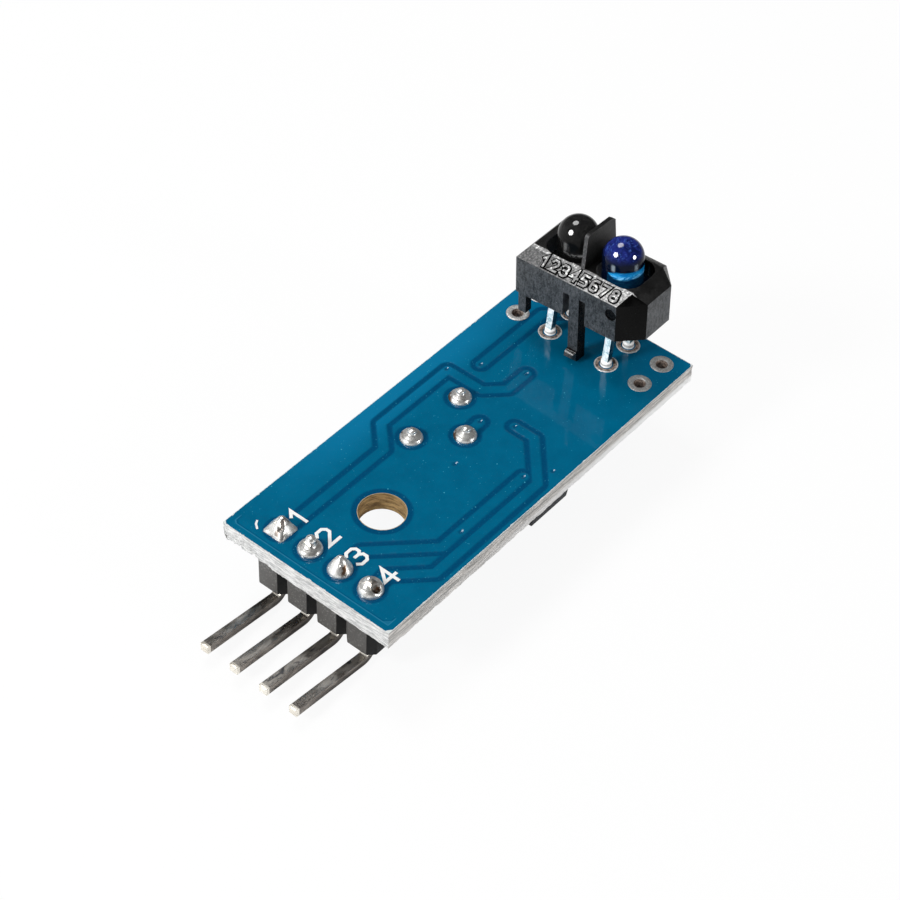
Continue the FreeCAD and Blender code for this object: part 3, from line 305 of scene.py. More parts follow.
def mask_material():
    """Glossy blue solder mask, darker where the copper below it is etched away."""
    n = material_nodes("solder_mask_blue")
    fine = n.noise(7.0)
    x, y, edge = n.axis("X"), n.axis("Y"), n.attribute("edge")
    colour = n.mix(n.band(n.noise(0.6, 4.0), 0.3, 0.7), (0.0, 0.108, 0.212), (0.0, 0.124, 0.238))
    colour = n.mix(n.band(fine, 0.45, 0.75, 0.0, 0.25), colour, (0.0, 0.15, 0.28))
    # Painted light: the mask is drawn brighter on its far side at the header end and towards the sensor end.
    at_far_side = n.times(n.band(y, 3.6, 6.6), n.band(x, -7.0, 6.0))
    colour = n.mix(at_far_side, colour, (0.003, 0.172, 0.338))
    at_sensor = n.band(x, 17.0, 25.5, 0.0, 0.35)
    colour = n.mix(at_sensor, colour, (0.0, 0.150, 0.320))
    # The pour's outline at the header end is painted: a dark line of shade with a pale highlight beside it.
    at_header = n.band(x, -6.1, -6.4, 0.0, 0.6)
    for rise, fall, shade in (((0.50, 0.54), (0.64, 0.57), (0.0, 0.07, 0.16)),
                              ((0.42, 0.46), (0.53, 0.49), (0.03, 0.22, 0.36))):
        line = n.times(n.band(edge, *rise), n.band(edge, *fall))
        colour = n.mix(n.times(line, at_header), colour, shade)
    over_laminate = n.mix(n.band(fine, 0.4, 0.7), (0.0, 0.062, 0.150), (0.0, 0.074, 0.172))
    colour = n.mix(n.attribute("groove"), colour, over_laminate)
    large = n.times(n.band(n.cells(1.1), 0.065, 0.03), n.band(n.noise(0.7, 2.0), 0.44, 0.56))
    small = n.times(n.band(n.cells(3.4), 0.15, 0.05), n.band(n.noise(0.8), 0.42, 0.62, 0.1, 0.75))
    colour = n.mix(n.math("MAXIMUM", large, small), colour, (0.05, 0.38, 0.52))
    nicks = n.plus(n.times(n.noise(9.0, 3.0, 0.6), 0.075),
                   n.band(n.noise(1.6, 4.0, 0.7), 0.56, 0.66, 0.0, 0.05))
    chips = n.band(n.math("SUBTRACT", edge, nicks), 0.0, -0.015)
    colour = n.mix(chips, colour, (0.72, 0.76, 0.75))
    tan = n.band(n.plus(n.attribute("hole_edge"), n.times(fine, 0.04)), 0.065, 0.045)
    colour = n.mix(tan, colour, (0.50, 0.40, 0.24))
    normal = n.bump(fine, 0.25, 0.006, n.bump(n.noise(1.1, 2.0), 0.3, 0.03))
    return n.finish(colour, n.band(n.noise(3.0), 0.3, 0.7, 0.1, 0.2), normal,
                    Specular_IOR_Level=0.15, Coat_Weight=0.7, Coat_Roughness=0.03, Coat_IOR=1.5)


def laminate_material(name, pale, dark, brown, along, contrast, paler_low_far=False):
    """The cut edge of woven glass laminate, its layers along the board, or paler low down towards the far
    end.
    """
    n = material_nodes(name)
    layers = n.noise(1.0, 4.0, 0.7, (along, along, 11.0))
    strands = n.noise(1.0, 3.0, 0.7, (along * 5, along * 5, 26.0))
    grain = n.noise(16.0, 3.0, 0.7)
    colour = n.mix(n.band(layers, 0.5 - contrast, 0.5 + contrast), dark, pale)
    colour = n.mix(n.band(strands, 0.5, 0.72, 0.0, 0.75), colour, pale)
    colour = n.mix(n.band(grain, 0.58, 0.75, 0.0, 0.6), colour, brown)
    if paler_low_far:
        low = n.band(n.plus(n.axis("Z"), n.times(layers, 0.4)), -0.55, -1.0)
        far = n.band(n.axis("X"), -4.0, 20.0, 0.15, 1.0)
        colour = n.mix(n.times(low, far), colour, grey(0.99))
    normal = n.bump(strands, 0.8, 0.05, n.bump(grain, 0.6, 0.03))
    return n.finish(colour, n.band(layers, 0.3, 0.7, 0.5, 0.75), normal, Specular_IOR_Level=0.4)


def metal_material(name, bright, dull, stain, rough, stained, scale=1.0, metallic=1.0, along=1.0):
    """Tinned metal with soft patches in long streaks, tarnish on most, painted glints on the leads' shaded
    sides; stained is how strongly they show.
    """
    n = material_nodes(name)
    broad = n.noise(scale, 3.0, 0.5, (along, 1, 1), 0.4)
    patches = n.noise(scale * 1.6, 4.0, 0.65, (along, 1, 1), 1.2)
    scratches = n.noise(1.0, 3.0, 0.6, (2.0, 22.0, 22.0))
    colour = n.mix(n.band(broad, 0.36, 0.64), dull, bright)
    colour = n.mix(n.band(patches, 0.57, 0.66, 0.0, stained), colour, stain)
    colour = n.mix(n.band(scratches, 0.5, 0.8, 0.0, 0.35), colour, dull)
    normal = n.bump(scratches, 0.3, 0.012, n.bump(n.noise(9.0, 3.0, 0.6), 0.25, 0.008))
    roughness = n.band(broad, 0.3, 0.7, rough - 0.06, rough + 0.12)
    return n.finish(colour, roughness, normal, Metallic=metallic)


def plastic_material(name, colour, second, rough, grain, depth, coat=0.0, specular=0.5, cover=0.5):
    """Moulded plastic with a fine grain and faint flow marks; cover is the second colour's share."""
    n = material_nodes(name)
    cloud = n.noise(1.4, 4.0, 0.6)
    fine = n.noise(grain, 4.0, 0.7)
    grains = n.plus(fine, n.times(cloud, 0.3))
    mixed = n.mix(n.band(grains, 0.85 - cover * 0.3, 1.0 - cover * 0.3), colour, second)
    normal = n.bump(fine, 0.5, depth, n.bump(cloud, 0.3, depth * 2))
    return n.finish(mixed, n.band(fine, 0.3, 0.75, rough - 0.07, rough + 0.1), normal,
                    Specular_IOR_Level=specular, Coat_Weight=coat, Coat_Roughness=0.08)


def grained_material(name, dark, pale, rough):
    """Grained black plastic with upright scuffs and a few bright specks."""
    n = material_nodes(name)
    fine = n.noise(7.0, 4.0, 0.75)
    scuffs = n.noise(1.0, 4.0, 0.75, (7.0, 7.0, 2.6), 0.8)
    broad = n.noise(0.9, 3.0, 0.6)
    height = n.plus(n.times(fine, 0.45), n.times(scuffs, 0.55))
    paleness = n.plus(height, n.times(broad, 0.25))
    colour = n.mix(n.band(paleness, 0.50, 0.76), dark, pale)
    specks = n.times(n.band(n.cells(4.2), 0.12, 0.05), n.band(broad, 0.5, 0.6))
    colour = n.mix(specks, colour, tuple(4.0 * c for c in pale))
    return n.finish(colour, n.band(fine, 0.3, 0.7, rough - 0.08, rough + 0.1),
                    n.bump(height, 0.8, 0.04), Specular_IOR_Level=0.35)


def bevel_material():
    """The rough long bevel of the sensor: its pale flecks are a painted sheen, paler towards the notched
    end.
    """
    n = material_nodes("housing_bevel_painted_sheen")
    fine = n.noise(7.5, 4.0, 0.75)
    paleness = n.band(n.axis("Y"), 5.0, -3.6)
    coarse = n.noise(2.2, 3.0, 0.6)
    # Painted sheen: pale flecks on black plastic, growing paler towards the notched end.
    flecks = n.band(n.plus(fine, n.times(n.plus(paleness, coarse), 0.12)), 0.48, 0.82)
    colour = n.mix(flecks, (0.040, 0.041, 0.042), n.mix(paleness, grey(0.30), (0.78, 0.78, 0.77)))
    return n.finish(colour, 0.38, n.bump(fine, 0.9, 0.05), Specular_IOR_Level=0.8)


def solder_material():
    n = material_nodes("solder_tin")
    broad = n.noise(1.5, 2.0, 0.5, distortion=0.6)
    fine = n.noise(10.0, 3.0, 0.6)
    colour = n.mix(n.band(broad, 0.32, 0.55), (0.68, 0.66, 0.63), (0.97, 0.96, 0.93))
    stain = n.times(n.attribute("stain"), n.band(n.noise(3.0), 0.35, 0.6))
    colour = n.mix(stain, colour, (0.16, 0.09, 0.05))
    normal = n.bump(broad, 0.25, 0.03, n.bump(fine, 0.22, 0.005))
    return n.finish(colour, n.band(fine, 0.3, 0.7, 0.26, 0.40), normal, Metallic=0.84)


def land_material():
    """A tinned ring round a hole: flux round the hole, and a painted highlight on the neck where a lead
    stands in it.
    """
    n = material_nodes("tinned_ring")
    fine = n.noise(9.0, 4.0, 0.65)
    flux, neck = n.attribute("flux"), n.attribute("neck")
    ring = n.mix(n.band(fine, 0.35, 0.65), (0.50, 0.50, 0.49), (0.80, 0.80, 0.78))
    brown = n.mix(n.band(n.noise(5.0), 0.4, 0.65), (0.09, 0.065, 0.055), (0.38, 0.30, 0.25))
    fluxed = n.times(flux, n.band(n.noise(1.4, 3.0, 0.6), 0.25, 0.5, 0.7, 1.0))
    colour = n.mix(neck, n.mix(fluxed, ring, brown), (0.96, 0.96, 0.95))
    return n.finish(colour, n.band(fine, 0.3, 0.7, 0.3, 0.5), n.bump(fine, 0.6, 0.03),
                    Metallic=n.band(n.plus(flux, neck), 0.2, 0.8, 0.6, 0.15))


def lens_material(name, deep, middle, wisp, low, high, posts, glow):
    """Clear coloured epoxy with its light painted in: a lighter upper dome with pale wisps, a bright
    crescent with sparks under the dome, and a glow given off as emission.
    """
    n = material_nodes(name)
    upper, gathered = n.attribute("upper"), n.attribute("crescent")
    swirl = n.noise(1.3, 4.0, 0.6, distortion=1.6)
    wisps = n.noise(2.2, 4.0, 0.7, distortion=2.0)
    streaks = n.noise(1.0, 4.0, 0.7, (1.8, 1.8, 6.0), 0.8)
    colour = n.mix(n.times(upper, n.band(swirl, 0.3, 0.62, 0.3, 1.0)), deep, middle)
    colour = n.mix(n.times(n.band(wisps, 0.53, 0.70, 0.0, 0.8), upper), colour, wisp)
    colour = n.mix(n.times(n.attribute("post"), n.band(wisps, 0.3, 0.6, 0.35, 1.0)), colour, posts)
    colour = n.mix(gathered, colour, n.mix(n.band(streaks, 0.4, 0.62, 0.0, 0.6), low, high))
    sparks = n.times(n.times(gathered, n.attribute("sparks")), n.band(streaks, 0.46, 0.6))
    colour = n.mix(sparks, colour, tuple(0.2 + 0.9 * c for c in high))
    return n.finish(colour, 0.03, n.bump(n.noise(1.5, 2.0), 0.12, 0.02), Specular_IOR_Level=0.1,
                    Emission_Color=colour, Emission_Strength=glow)


MASK = mask_material()
# One laminate in two copies: the end's paler colours and the narrow side's darker ones are painted light and
# shade.
END_EDGE = laminate_material("laminate_end", (0.97, 0.97, 0.96), (0.42, 0.43, 0.43), (0.40, 0.40, 0.38),
                             1.3, 0.16)
SIDE_EDGE = laminate_material("laminate_side", (0.74, 0.71, 0.68), (0.26, 0.26, 0.25), (0.40, 0.27, 0.19),
                              0.45, 0.08, paler_low_far=True)
BORE = laminate_material("laminate_bore", (0.64, 0.43, 0.19), (0.17, 0.095, 0.03), (0.05, 0.03, 0.015),
                         1.0, 0.14)
SOLDER = solder_material()
RING = land_material()
PIN_METAL = metal_material("pin_metal_dull", (0.62, 0.58, 0.53), (0.36, 0.33, 0.30), (0.10, 0.105, 0.12),
                           0.32, 0.85, 1.3, along=0.45)
# Painted shade and painted highlight: darker and paler copies of the pins' metal, chosen per face.
PIN_SHADE = metal_material("pin_metal_painted_shade", (0.34, 0.31, 0.28), (0.17, 0.15, 0.135), (0.08, 0.08, 0.085),
                           0.38, 0.6, 1.3, along=0.45)
PIN_HIGHLIGHT = metal_material("pin_metal_painted_highlight", (0.97, 0.93, 0.84), (0.80, 0.75, 0.66), (0.4, 0.36, 0.3),
                            0.3, 0.4, metallic=0.6)
LEAD_METAL = metal_material("lead_metal_bright", (0.93, 0.96, 0.97), (0.42, 0.58, 0.64),
                            (0.20, 0.36, 0.42), 0.3, 0.5, 2.2, metallic=0.5)
# The sensor leads' faces towards the narrow side: painted shade with a painted reflection of the blue board,
# its pale patches painted glints.
LEAD_SHADE = metal_material("lead_metal_painted_shade", (0.10, 0.24, 0.30), (0.02, 0.11, 0.16),
                            (0.55, 0.72, 0.78), 0.3, 0.4, 2.4)
SPRING = metal_material("spring_bronze", (0.70, 0.52, 0.25), (0.5, 0.36, 0.17), (0.2, 0.13, 0.06),
                        0.28, 0.4)
# The housing's black plastic in copies chosen per face: paler on the outer sides and darker on the tops for
# painted light, near black for painted shade and for the smooth ejector mark.
HOUSING = grained_material("sensor_housing_grained", (0.008, 0.010, 0.012), (0.105, 0.113, 0.122), 0.45)
HOUSING_FINE = grained_material("sensor_housing_fine", grey(0.0025), grey(0.016), 0.42)
HOUSING_SMOOTH_SHADE = plastic_material("sensor_housing_smooth_painted_shade", grey(0.0015), grey(0.006), 0.3, 7.0, 0.008,
                                  specular=0.08, cover=0.3)
HOUSING_NOSE = plastic_material("sensor_housing_nose", grey(0.012), grey(0.03), 0.3, 6.0, 0.006,
                                specular=1.0)
# Painted highlights: pale copies for the rounded edges and the partition's near edge, and a white one for
# the bevel's crest.
HOUSING_EDGE_HIGHLIGHT = plastic_material("sensor_housing_edge_painted_highlight", (0.05, 0.05, 0.052), (0.26, 0.26, 0.27),
                               0.3, 6.0, 0.01)
HOUSING_CREST_HIGHLIGHT = plastic_material("sensor_housing_crest_painted_highlight", grey(0.26), (0.95, 0.95, 0.94), 0.35, 5.0, 0.01,
                                 cover=0.75)
HOUSING_BEVEL = bevel_material()
# The header's plastic in a lit copy and a copy with painted shade.
HEADER_BLACK = plastic_material("header_grey", (0.085, 0.082, 0.078), (0.30, 0.295, 0.28),
                                0.55, 7.5, 0.03)
HEADER_SHADE = plastic_material("header_painted_shade", grey(0.004), grey(0.012), 0.5, 10.0, 0.01, specular=0.2)
PACKAGE = plastic_material("package_black", (0.018, 0.018, 0.02), (0.045, 0.045, 0.046), 0.45, 16.0, 0.016)
TRIMMER_BLUE = plastic_material("trimmer_blue", (0.015, 0.09, 0.42), (0.025, 0.14, 0.55), 0.32, 10.0, 0.008)
ROTOR_WHITE = plastic_material("rotor_white", (0.72, 0.70, 0.62), (0.82, 0.80, 0.73), 0.4, 10.0, 0.01)
CERAMIC = plastic_material("element_ceramic", (0.55, 0.52, 0.46), (0.66, 0.63, 0.57), 0.6, 12.0, 0.012)
RESISTOR = plastic_material("resistor_black", (0.02, 0.02, 0.022), (0.04, 0.04, 0.042), 0.25, 12.0, 0.006)
CAPACITOR = plastic_material("capacitor_tan", (0.36, 0.24, 0.13), (0.45, 0.31, 0.18), 0.35, 12.0, 0.006)
LIGHT_BASE = plastic_material("light_base_pale", (0.62, 0.66, 0.60), (0.74, 0.77, 0.70), 0.45, 12.0, 0.006)
LIGHT_LENS = plastic_material("light_lens_clear", (0.70, 0.74, 0.62), (0.80, 0.83, 0.74), 0.12, 6.0, 0.003,
                              coat=0.6)
INK = plastic_material("white_ink", (0.86, 0.87, 0.86), (0.93, 0.94, 0.93), 0.45, 14.0, 0.01)
BLACK_EPOXY = lens_material("detector_epoxy_black", grey(0.004), grey(0.012), (0.022, 0.022, 0.021),
                            grey(0.004), (0.010, 0.010, 0.011), grey(0.11), 0.0)
BLUE_EPOXY = lens_material("emitter_epoxy_blue", (0.001, 0.003, 0.012), (0.010, 0.016, 0.12),
                           (0.04, 0.09, 0.34), (0.003, 0.14, 0.42), (0.03, 0.46, 0.85),
                           (0.20, 0.24, 0.28), 0.15)


# The board: mask with real grooves on both faces, laminate round the edge and in the holes.

# Each with the radius that its mask leaves bare.
TOP_PADS = [(HEADER, 0.86), (TRIMMER, 0.88)]
UNDER_PADS = [(HEADER, 0.87), (TRIMMER, 0.87), (LEADS, 0.8), (SPARES, 0.8)]
# Each as its middle, radius and number of points round it.
BOARD_HOLES = ([(0.0, 0.0, HOLE_RADIUS, 96)] + [(x, y, SPARE_DRILL, 32) for x, y in SPARES]
               + [(x, y, 0.5, 24) for x, y in HEADER] + [(x, y, 0.42, 24) for x, y in TRIMMER + LEADS])
WALL_ROWS = 9


def outline_points():
    """The board's outline, counterclockwise, in finer steps at its header end."""
    corners = [(BOARD_LOW_X, -BOARD_HALF_Y), (BOARD_HIGH_X, -BOARD_HALF_Y),
               (BOARD_HIGH_X, BOARD_HALF_Y), (BOARD_LOW_X, BOARD_HALF_Y)]
    points = []
    for start, end in zip(corners, corners[1:] + corners[:1]):
        a, b = np.array(start), np.array(end)
        step = 0.08 if start[0] == end[0] == BOARD_LOW_X else 0.2
        count = int(round(np.linalg.norm(b - a) / step))
        points += [tuple(a + (b - a) * k / count) for k in range(count)]
    return points


def outline_distance(points):
    x, y = points[:, 0], points[:, 1]
    return np.minimum(np.minimum(x - BOARD_LOW_X, BOARD_HIGH_X - x), BOARD_HALF_Y - np.abs(y))


def face_field(points, traces, pads):
    """How deep in a groove each point is, from 0 to 1, and its height above the mask."""
    d = trace_distance(points, traces)
    groove = ramp(d, TRACE_HALF - 0.06, TRACE_HALF + 0.05)
    groove *= 1 - ramp(d, TRACE_HALF + TRACE_GAP - 0.05, TRACE_HALF + TRACE_GAP + 0.06)
    shallow = np.zeros(len(points))
    for places, land in pads:
        r = spot_distance(points, places)
        ring = ramp(r, land - 0.08, land) * (1 - ramp(r, land + 0.2, land + 0.34))
        ring *= ramp(d, TRACE_HALF - 0.08, TRACE_HALF + 0.02)
        groove = np.maximum(groove, ring)
        shallow = np.maximum(shallow, ring)
    hole = np.hypot(points[:, 0], points[:, 1]) - HOLE_RADIUS
    groove = np.maximum(groove, 1 - ramp(hole, 0.35, 0.5))
    via = spot_distance(points, VIAS)
    groove = np.maximum(groove, 0.8 * (1 - ramp(via, 0.10, 0.22)))
    height = -0.03 * groove * (1 - 0.7 * shallow) * (0.4 + 0.6 * ramp(hole, 0.5, 0.6))
    height += 0.005 * np.exp(-((via - 0.3) / 0.10) ** 2) - 0.035 * np.exp(-(via / 0.13) ** 2)
    return groove, height


def face_mesh(traces, pads, loops, margin):
    """Points and triangles of one face of the board, and the numbers of the loops' points.

    The points lie on a grid, fine at the grooves and coarse elsewhere.
    """
    fine = 0.085
    xs = np.arange(BOARD_LOW_X + fine, BOARD_HIGH_X, fine)
    ys = np.arange(-BOARD_HALF_Y + fine, BOARD_HALF_Y, fine)
    grid_x, grid_y = np.meshgrid(xs, ys, indexing="ij")
    points = np.c_[grid_x.ravel(), grid_y.ravel()]
    index_x, index_y = np.divmod(np.arange(len(points)), len(ys))
    keep = (index_x % 5 == 0) & (index_y % 5 == 0)
    d = trace_distance(points, traces)
    keep |= (np.abs(d - TRACE_HALF) < 0.24) | (np.abs(d - TRACE_HALF - TRACE_GAP) < 0.24)
    for places, land in pads:
        r = spot_distance(points, places)
        keep |= (np.abs(r - land + 0.04) < 0.14) | (np.abs(r - land - 0.32) < 0.16)
    keep |= np.abs(np.hypot(points[:, 0], points[:, 1]) - HOLE_RADIUS - 0.42) < 0.16
    keep |= spot_distance(points, VIAS) < 0.42
    keep &= outline_distance(points) > margin
    for x, y, radius, _ in BOARD_HOLES:
        keep &= np.hypot(points[:, 0] - x, points[:, 1] - y) > radius + 0.07
    coords = [Vector(p) for loop in loops for p in loop]
    edges = []
    for loop in loops:
        start, count = len(edges), len(loop)
        edges += [(start + k, start + (k + 1) % count) for k in range(count)]
    on_loops = len(coords)
    coords += [Vector(p) for p in points[keep]]
    out_points, _, out_faces, originals, _, _ = delaunay_2d_cdt(coords, edges, [], 0, 1e-7)
    place = np.array([tuple(p) for p in out_points])
    triangles = np.array(out_faces)
    middle = place[triangles].mean(axis=1)
    inside = outline_distance(middle) > 0
    for x, y, radius, _ in BOARD_HOLES:
        inside &= np.hypot(middle[:, 0] - x, middle[:, 1] - y) > radius * 0.995
    numbers = {original: number for number, ids in enumerate(originals) for original in ids}
    return place, triangles[inside], [numbers[k] for k in range(on_loops)]


def wall_depth(flat, z, outer):
    """How far the cut laminate lies back: uneven as sawn, and torn at one corner."""
    where = np.c_[flat, np.full(len(flat), z)]
    if not outer:
        return 0.008 + 0.012 * rumple(where * [1, 1, 3], 2.5, 5.0)
    depth = 0.035 + 0.035 * rumple(where * [1, 1, 3], 1.6, 3.1) + 0.02 * rumple(where, 5.0, 7.7)
    torn = np.exp(-(((flat[:, 0] - BOARD_LOW_X) / 0.5) ** 2 + ((flat[:, 1] - 5.2) / 2.0) ** 2))
    torn = torn * 0.16 * (1 + 1.6 * rumple(where * [1, 1, 2], 4.5, 1.3)) + 0.03 * rumple(where, 7.0)
    return depth + torn * (z / BOARD_LOW_Z) ** 2


def dressed_board():
    """Both masked faces and the walls between them in one mesh."""
    loops = [outline_points()] + [circle_points(*hole) for hole in BOARD_HOLES]
    points, faces, kinds, rings, shades = [], [], [], [], []
    for side, level, traces, pads, margin in ((1, 0.0, TOP_TRACES, TOP_PADS, 0.1),
                                              (-1, BOARD_LOW_Z, UNDER_TRACES, UNDER_PADS, 0.36)):
        place, triangles, on_loops = face_mesh(traces, pads, loops, margin)
        groove, height = face_field(place, traces, pads)
        edge = outline_distance(place)
        z = np.where(edge < 1e-6, level, level + side * height)
        rings.append([len(points) + number for number in on_loops])
        faces += (triangles[:, ::side] + len(points)).tolist()
        kinds += [0] * len(triangles)
        points += np.c_[place, z].tolist()
        shades += zip(groove, edge, np.hypot(place[:, 0], place[:, 1]) - HOLE_RADIUS)

    first = 0
    for loop, hole in zip(loops, [None] + BOARD_HOLES):
        count = len(loop)
        top, bottom = (ring[first:first + count] for ring in rings)
        first += count
        flat = np.array(loop)
        if hole:
            inward = flat - np.array(hole[:2])
        else:
            ahead = np.roll(flat, -1, axis=0) - np.roll(flat, 1, axis=0)
            inward = np.c_[-ahead[:, 1], ahead[:, 0]]
        inward /= np.linalg.norm(inward, axis=1)[:, None]
        grid = [top]
        for row in range(1, WALL_ROWS + 1):
            z = BOARD_LOW_Z * row / WALL_ROWS
            moved = flat + inward * np.maximum(wall_depth(flat, z, not hole), 0.0)[:, None]
            if row < WALL_ROWS:
                grid.append(range(len(points), len(points) + count))
                points += [(x, y, z) for x, y in moved]
            elif not hole:
                for number, (x, y) in zip(bottom, moved):
                    points[number] = (x, y, z)
        for upper, lower in zip(grid, grid[1:] + [bottom]):
            for k in range(count):
                after = (k + 1) % count
                if hole:
                    faces.append([upper[k], upper[after], lower[after], lower[k]])
                    kinds.append(2)
                else:
                    faces.append([upper[k], lower[k], lower[after], upper[after]])
                    kinds.append(3 if abs(loop[k][1]) == abs(loop[after][1]) == BOARD_HALF_Y else 1)
    shades += [(0.0, 0.0, 0.0)] * (len(points) - len(shades))
    piece = new_piece("board_dressed", points, faces, [MASK, END_EDGE, BORE, SIDE_EDGE],
                      replaces=["circuit_board"], kinds=kinds,
                      attributes=dict(zip(("groove", "edge", "hole_edge"), zip(*shades))))
    sharpen(piece, 50)


dressed_board()


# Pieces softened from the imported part's own solids.

def bisected(mesh, place, normal, clear=False):
    """Cuts a mesh along a plane, and drops what is beyond it if clear is set."""
    return bmesh.ops.bisect_plane(mesh, geom=mesh.verts[:] + mesh.edges[:] + mesh.faces[:], dist=1e-7,
                                  plane_co=place, plane_no=normal, clear_outer=clear)


def softened(node, name, materials, radius, body="module", choose=None, rounds=(), shape=None):
    """A copy of a node with its sharp edges rounded a little.

    choose gives a face's material from its normal and its middle in millimetres. rounds
    are edges rounded first with a radius of their own: radius, material, and a test of
    the edge's middle. shape changes the mesh before that. A fourth material is for the
    edges rounded last.
    """
    mesh = bmesh.new()
    mesh.from_mesh(NODES[node].data)
    bmesh.ops.remove_doubles(mesh, verts=mesh.verts, dist=2e-7)
    bmesh.ops.dissolve_degenerate(mesh, dist=1e-7, edges=mesh.edges)
    bmesh.ops.dissolve_limit(mesh, angle_limit=math.radians(1.5), verts=mesh.verts, edges=mesh.edges)
    if shape:
        shape(mesh)
    if choose:
        for face in mesh.faces:
            face.material_index = choose(face.normal, face.calc_center_median() / MM)
    last = (radius, -1 if len(materials) < 4 else 3, lambda middle: True)
    for size, index, wanted in [*rounds, last]:
        sharp = [edge for edge in mesh.edges if len(edge.link_faces) == 2
                 and edge.calc_face_angle(0.0) > math.radians(30)
                 and wanted((edge.verts[0].co + edge.verts[1].co) / 2 / MM)]
        bmesh.ops.bevel(mesh, geom=sharp, offset=size * MM, offset_type="OFFSET",
                        segments=2 if size < 0.2 else 4, profile=0.5, affect="EDGES",
                        clamp_overlap=True, material=index)
    bmesh.ops.remove_doubles(mesh, verts=mesh.verts, dist=1e-7)
    bmesh.ops.triangulate(mesh, faces=[f for f in mesh.faces if len(f.verts) > 4])
    bmesh.ops.recalc_face_normals(mesh, faces=mesh.faces)
    data = bpy.data.meshes.new(name)
    mesh.to_mesh(data)
    mesh.free()
    for material in materials:
        data.materials.append(material)
    data.polygons.foreach_set("use_smooth", [True] * len(data.polygons))
    sharpen(placed(name, data, body, [node]), 40)


SENSOR_BASE = (22.15, -0.11, 3.6)
LEAN_PIVOT = 3.0
LEAN_COS, LEAN_SIN = math.cos(math.radians(3.2)), math.sin(math.radians(3.2))
# Distances along the board from the sensor's middle: its side, its rim, and the long bevel's crest.
SENSOR_HALF_X = 2.825
SENSOR_RIM_X = 1.775
CREST_X = -1.62
CREST_LOW_X = -1.89
SENSOR_RIM_Z = 3.7


def leaned(x, y, z):
    """A point of the sensor, from its own frame to the board's."""
    z -= LEAN_PIVOT
    return Vector((SENSOR_BASE[0] + x, SENSOR_BASE[1] + y * LEAN_COS + z * LEAN_SIN,
                   SENSOR_BASE[2] + LEAN_PIVOT - y * LEAN_SIN + z * LEAN_COS))


def upright(point):
    """A point of the sensor, from the board's frame to its own."""
    x, y, z = (value - base for value, base in zip(point, SENSOR_BASE))
    z -= LEAN_PIVOT
    return x, y * LEAN_COS - z * LEAN_SIN, y * LEAN_SIN + z * LEAN_COS + LEAN_PIVOT


def shaped_housing(mesh):
    """Thins and rounds the partition, and cuts the notched corners up to the rim."""
    for vert in mesh.verts:
        x, y, z = upright(vert.co / MM)
        if abs(y) < 0.27 and z > 2.6:
            y = 0.145 + 0.6 * y
            if z > 5.5:
                if x > 1.3:
                    x, z = 1.55, 6.03
                elif x > 0.5:
                    x, z = 1.2, 6.3
                else:
                    z -= 0.44
            vert.co = leaned(x, y, z) * MM
    for side in (-1, 1):
        a, b, c = (leaned(*p) for p in ((SENSOR_HALF_X * side, -3.475, 3.0), (1.32 * side, -4.975, 3.0),
                                        (SENSOR_RIM_X * side, -3.93, 3.69)))
        outward = (b - a).cross(c - a) * -side
        made = bisected(mesh, a * MM, outward, clear=True)
        cut = [item for item in made["geom_cut"] if isinstance(item, bmesh.types.BMEdge)]
        bmesh.ops.contextual_create(mesh, geom=cut)
    for x in (CREST_X, CREST_LOW_X):
        bisected(mesh, leaned(x, 0.0, SENSOR_RIM_Z) * MM, (1, 0, 0))
    bmesh.ops.recalc_face_normals(mesh, faces=mesh.faces)


def housing_face(normal, middle):
    """The number in the list of materials below, for a face of the sensor's housing; its faces take painted
    light and shade, and painted highlights on the crest, the bevel and the partition's near edge.
    """
    grained, smooth, bevel, rim, fine, crest = 0, 1, 2, 3, 5, 6
    x, _, z = upright(middle)
    if z < -0.02:
        return grained if normal.x < -0.8 else smooth
    if abs(x + SENSOR_HALF_X - 0.08) < 0.03 or normal.y < -0.35 and abs(normal.x) > 0.35:
        return smooth
    if normal.z > 0.5 and x < CREST_X and abs(z - SENSOR_RIM_Z) < 0.1:
        return crest
    if normal.z > 0.5 and normal.x < -0.4 and x < -SENSOR_RIM_X + 0.1:
        return bevel
    if z > SENSOR_RIM_Z + 0.1:
        return rim if normal.x < -0.5 else fine
    if normal.z > 0.3:
        return fine
    return smooth if abs(x) < 1.75 and abs(normal.x) > 0.3 else grained


def clip_nose(middle):
    return 0.75 < middle.z < 1.05 and middle.x < SENSOR_BASE[0] - 3.1


def bevel_crest(middle):
    x, y, z = upright(middle)
    return x < CREST_X and abs(z - SENSOR_RIM_Z) < 0.05 and abs(y) > 0.4


def pin_face(normal, middle):
    """Faces towards the header end, at the bend and at the tip take a painted highlight, those towards the
    narrow side painted shade.
    """
    if normal.x < -0.8 or normal.x < -0.3 and middle.x > -6.6 or middle.x < -12.5:
        return 2
    return int(normal.y < -0.5)


def pointed(mesh):
    """Tapers the last bit of a header pin, which ends in the face furthest out."""
    end = min(mesh.faces, key=lambda face: face.calc_center_median().x)
    axis, centre = end.normal.copy(), end.calc_center_median().copy()
    bisected(mesh, centre - axis * 0.4 * MM, axis)
    for vert in mesh.verts:
        if (vert.co - centre).dot(axis) > -0.05 * MM:
            vert.co = centre + (vert.co - centre) * 0.6


softened("sensor_housing", "housing_moulded",
         [HOUSING, HOUSING_SMOOTH_SHADE, HOUSING_BEVEL, HOUSING_EDGE_HIGHLIGHT, HOUSING_NOSE, HOUSING_FINE, HOUSING_CREST_HIGHLIGHT],
         0.05, choose=housing_face, shape=shaped_housing,
         rounds=[(0.28, 4, clip_nose), (0.06, 6, bevel_crest)])
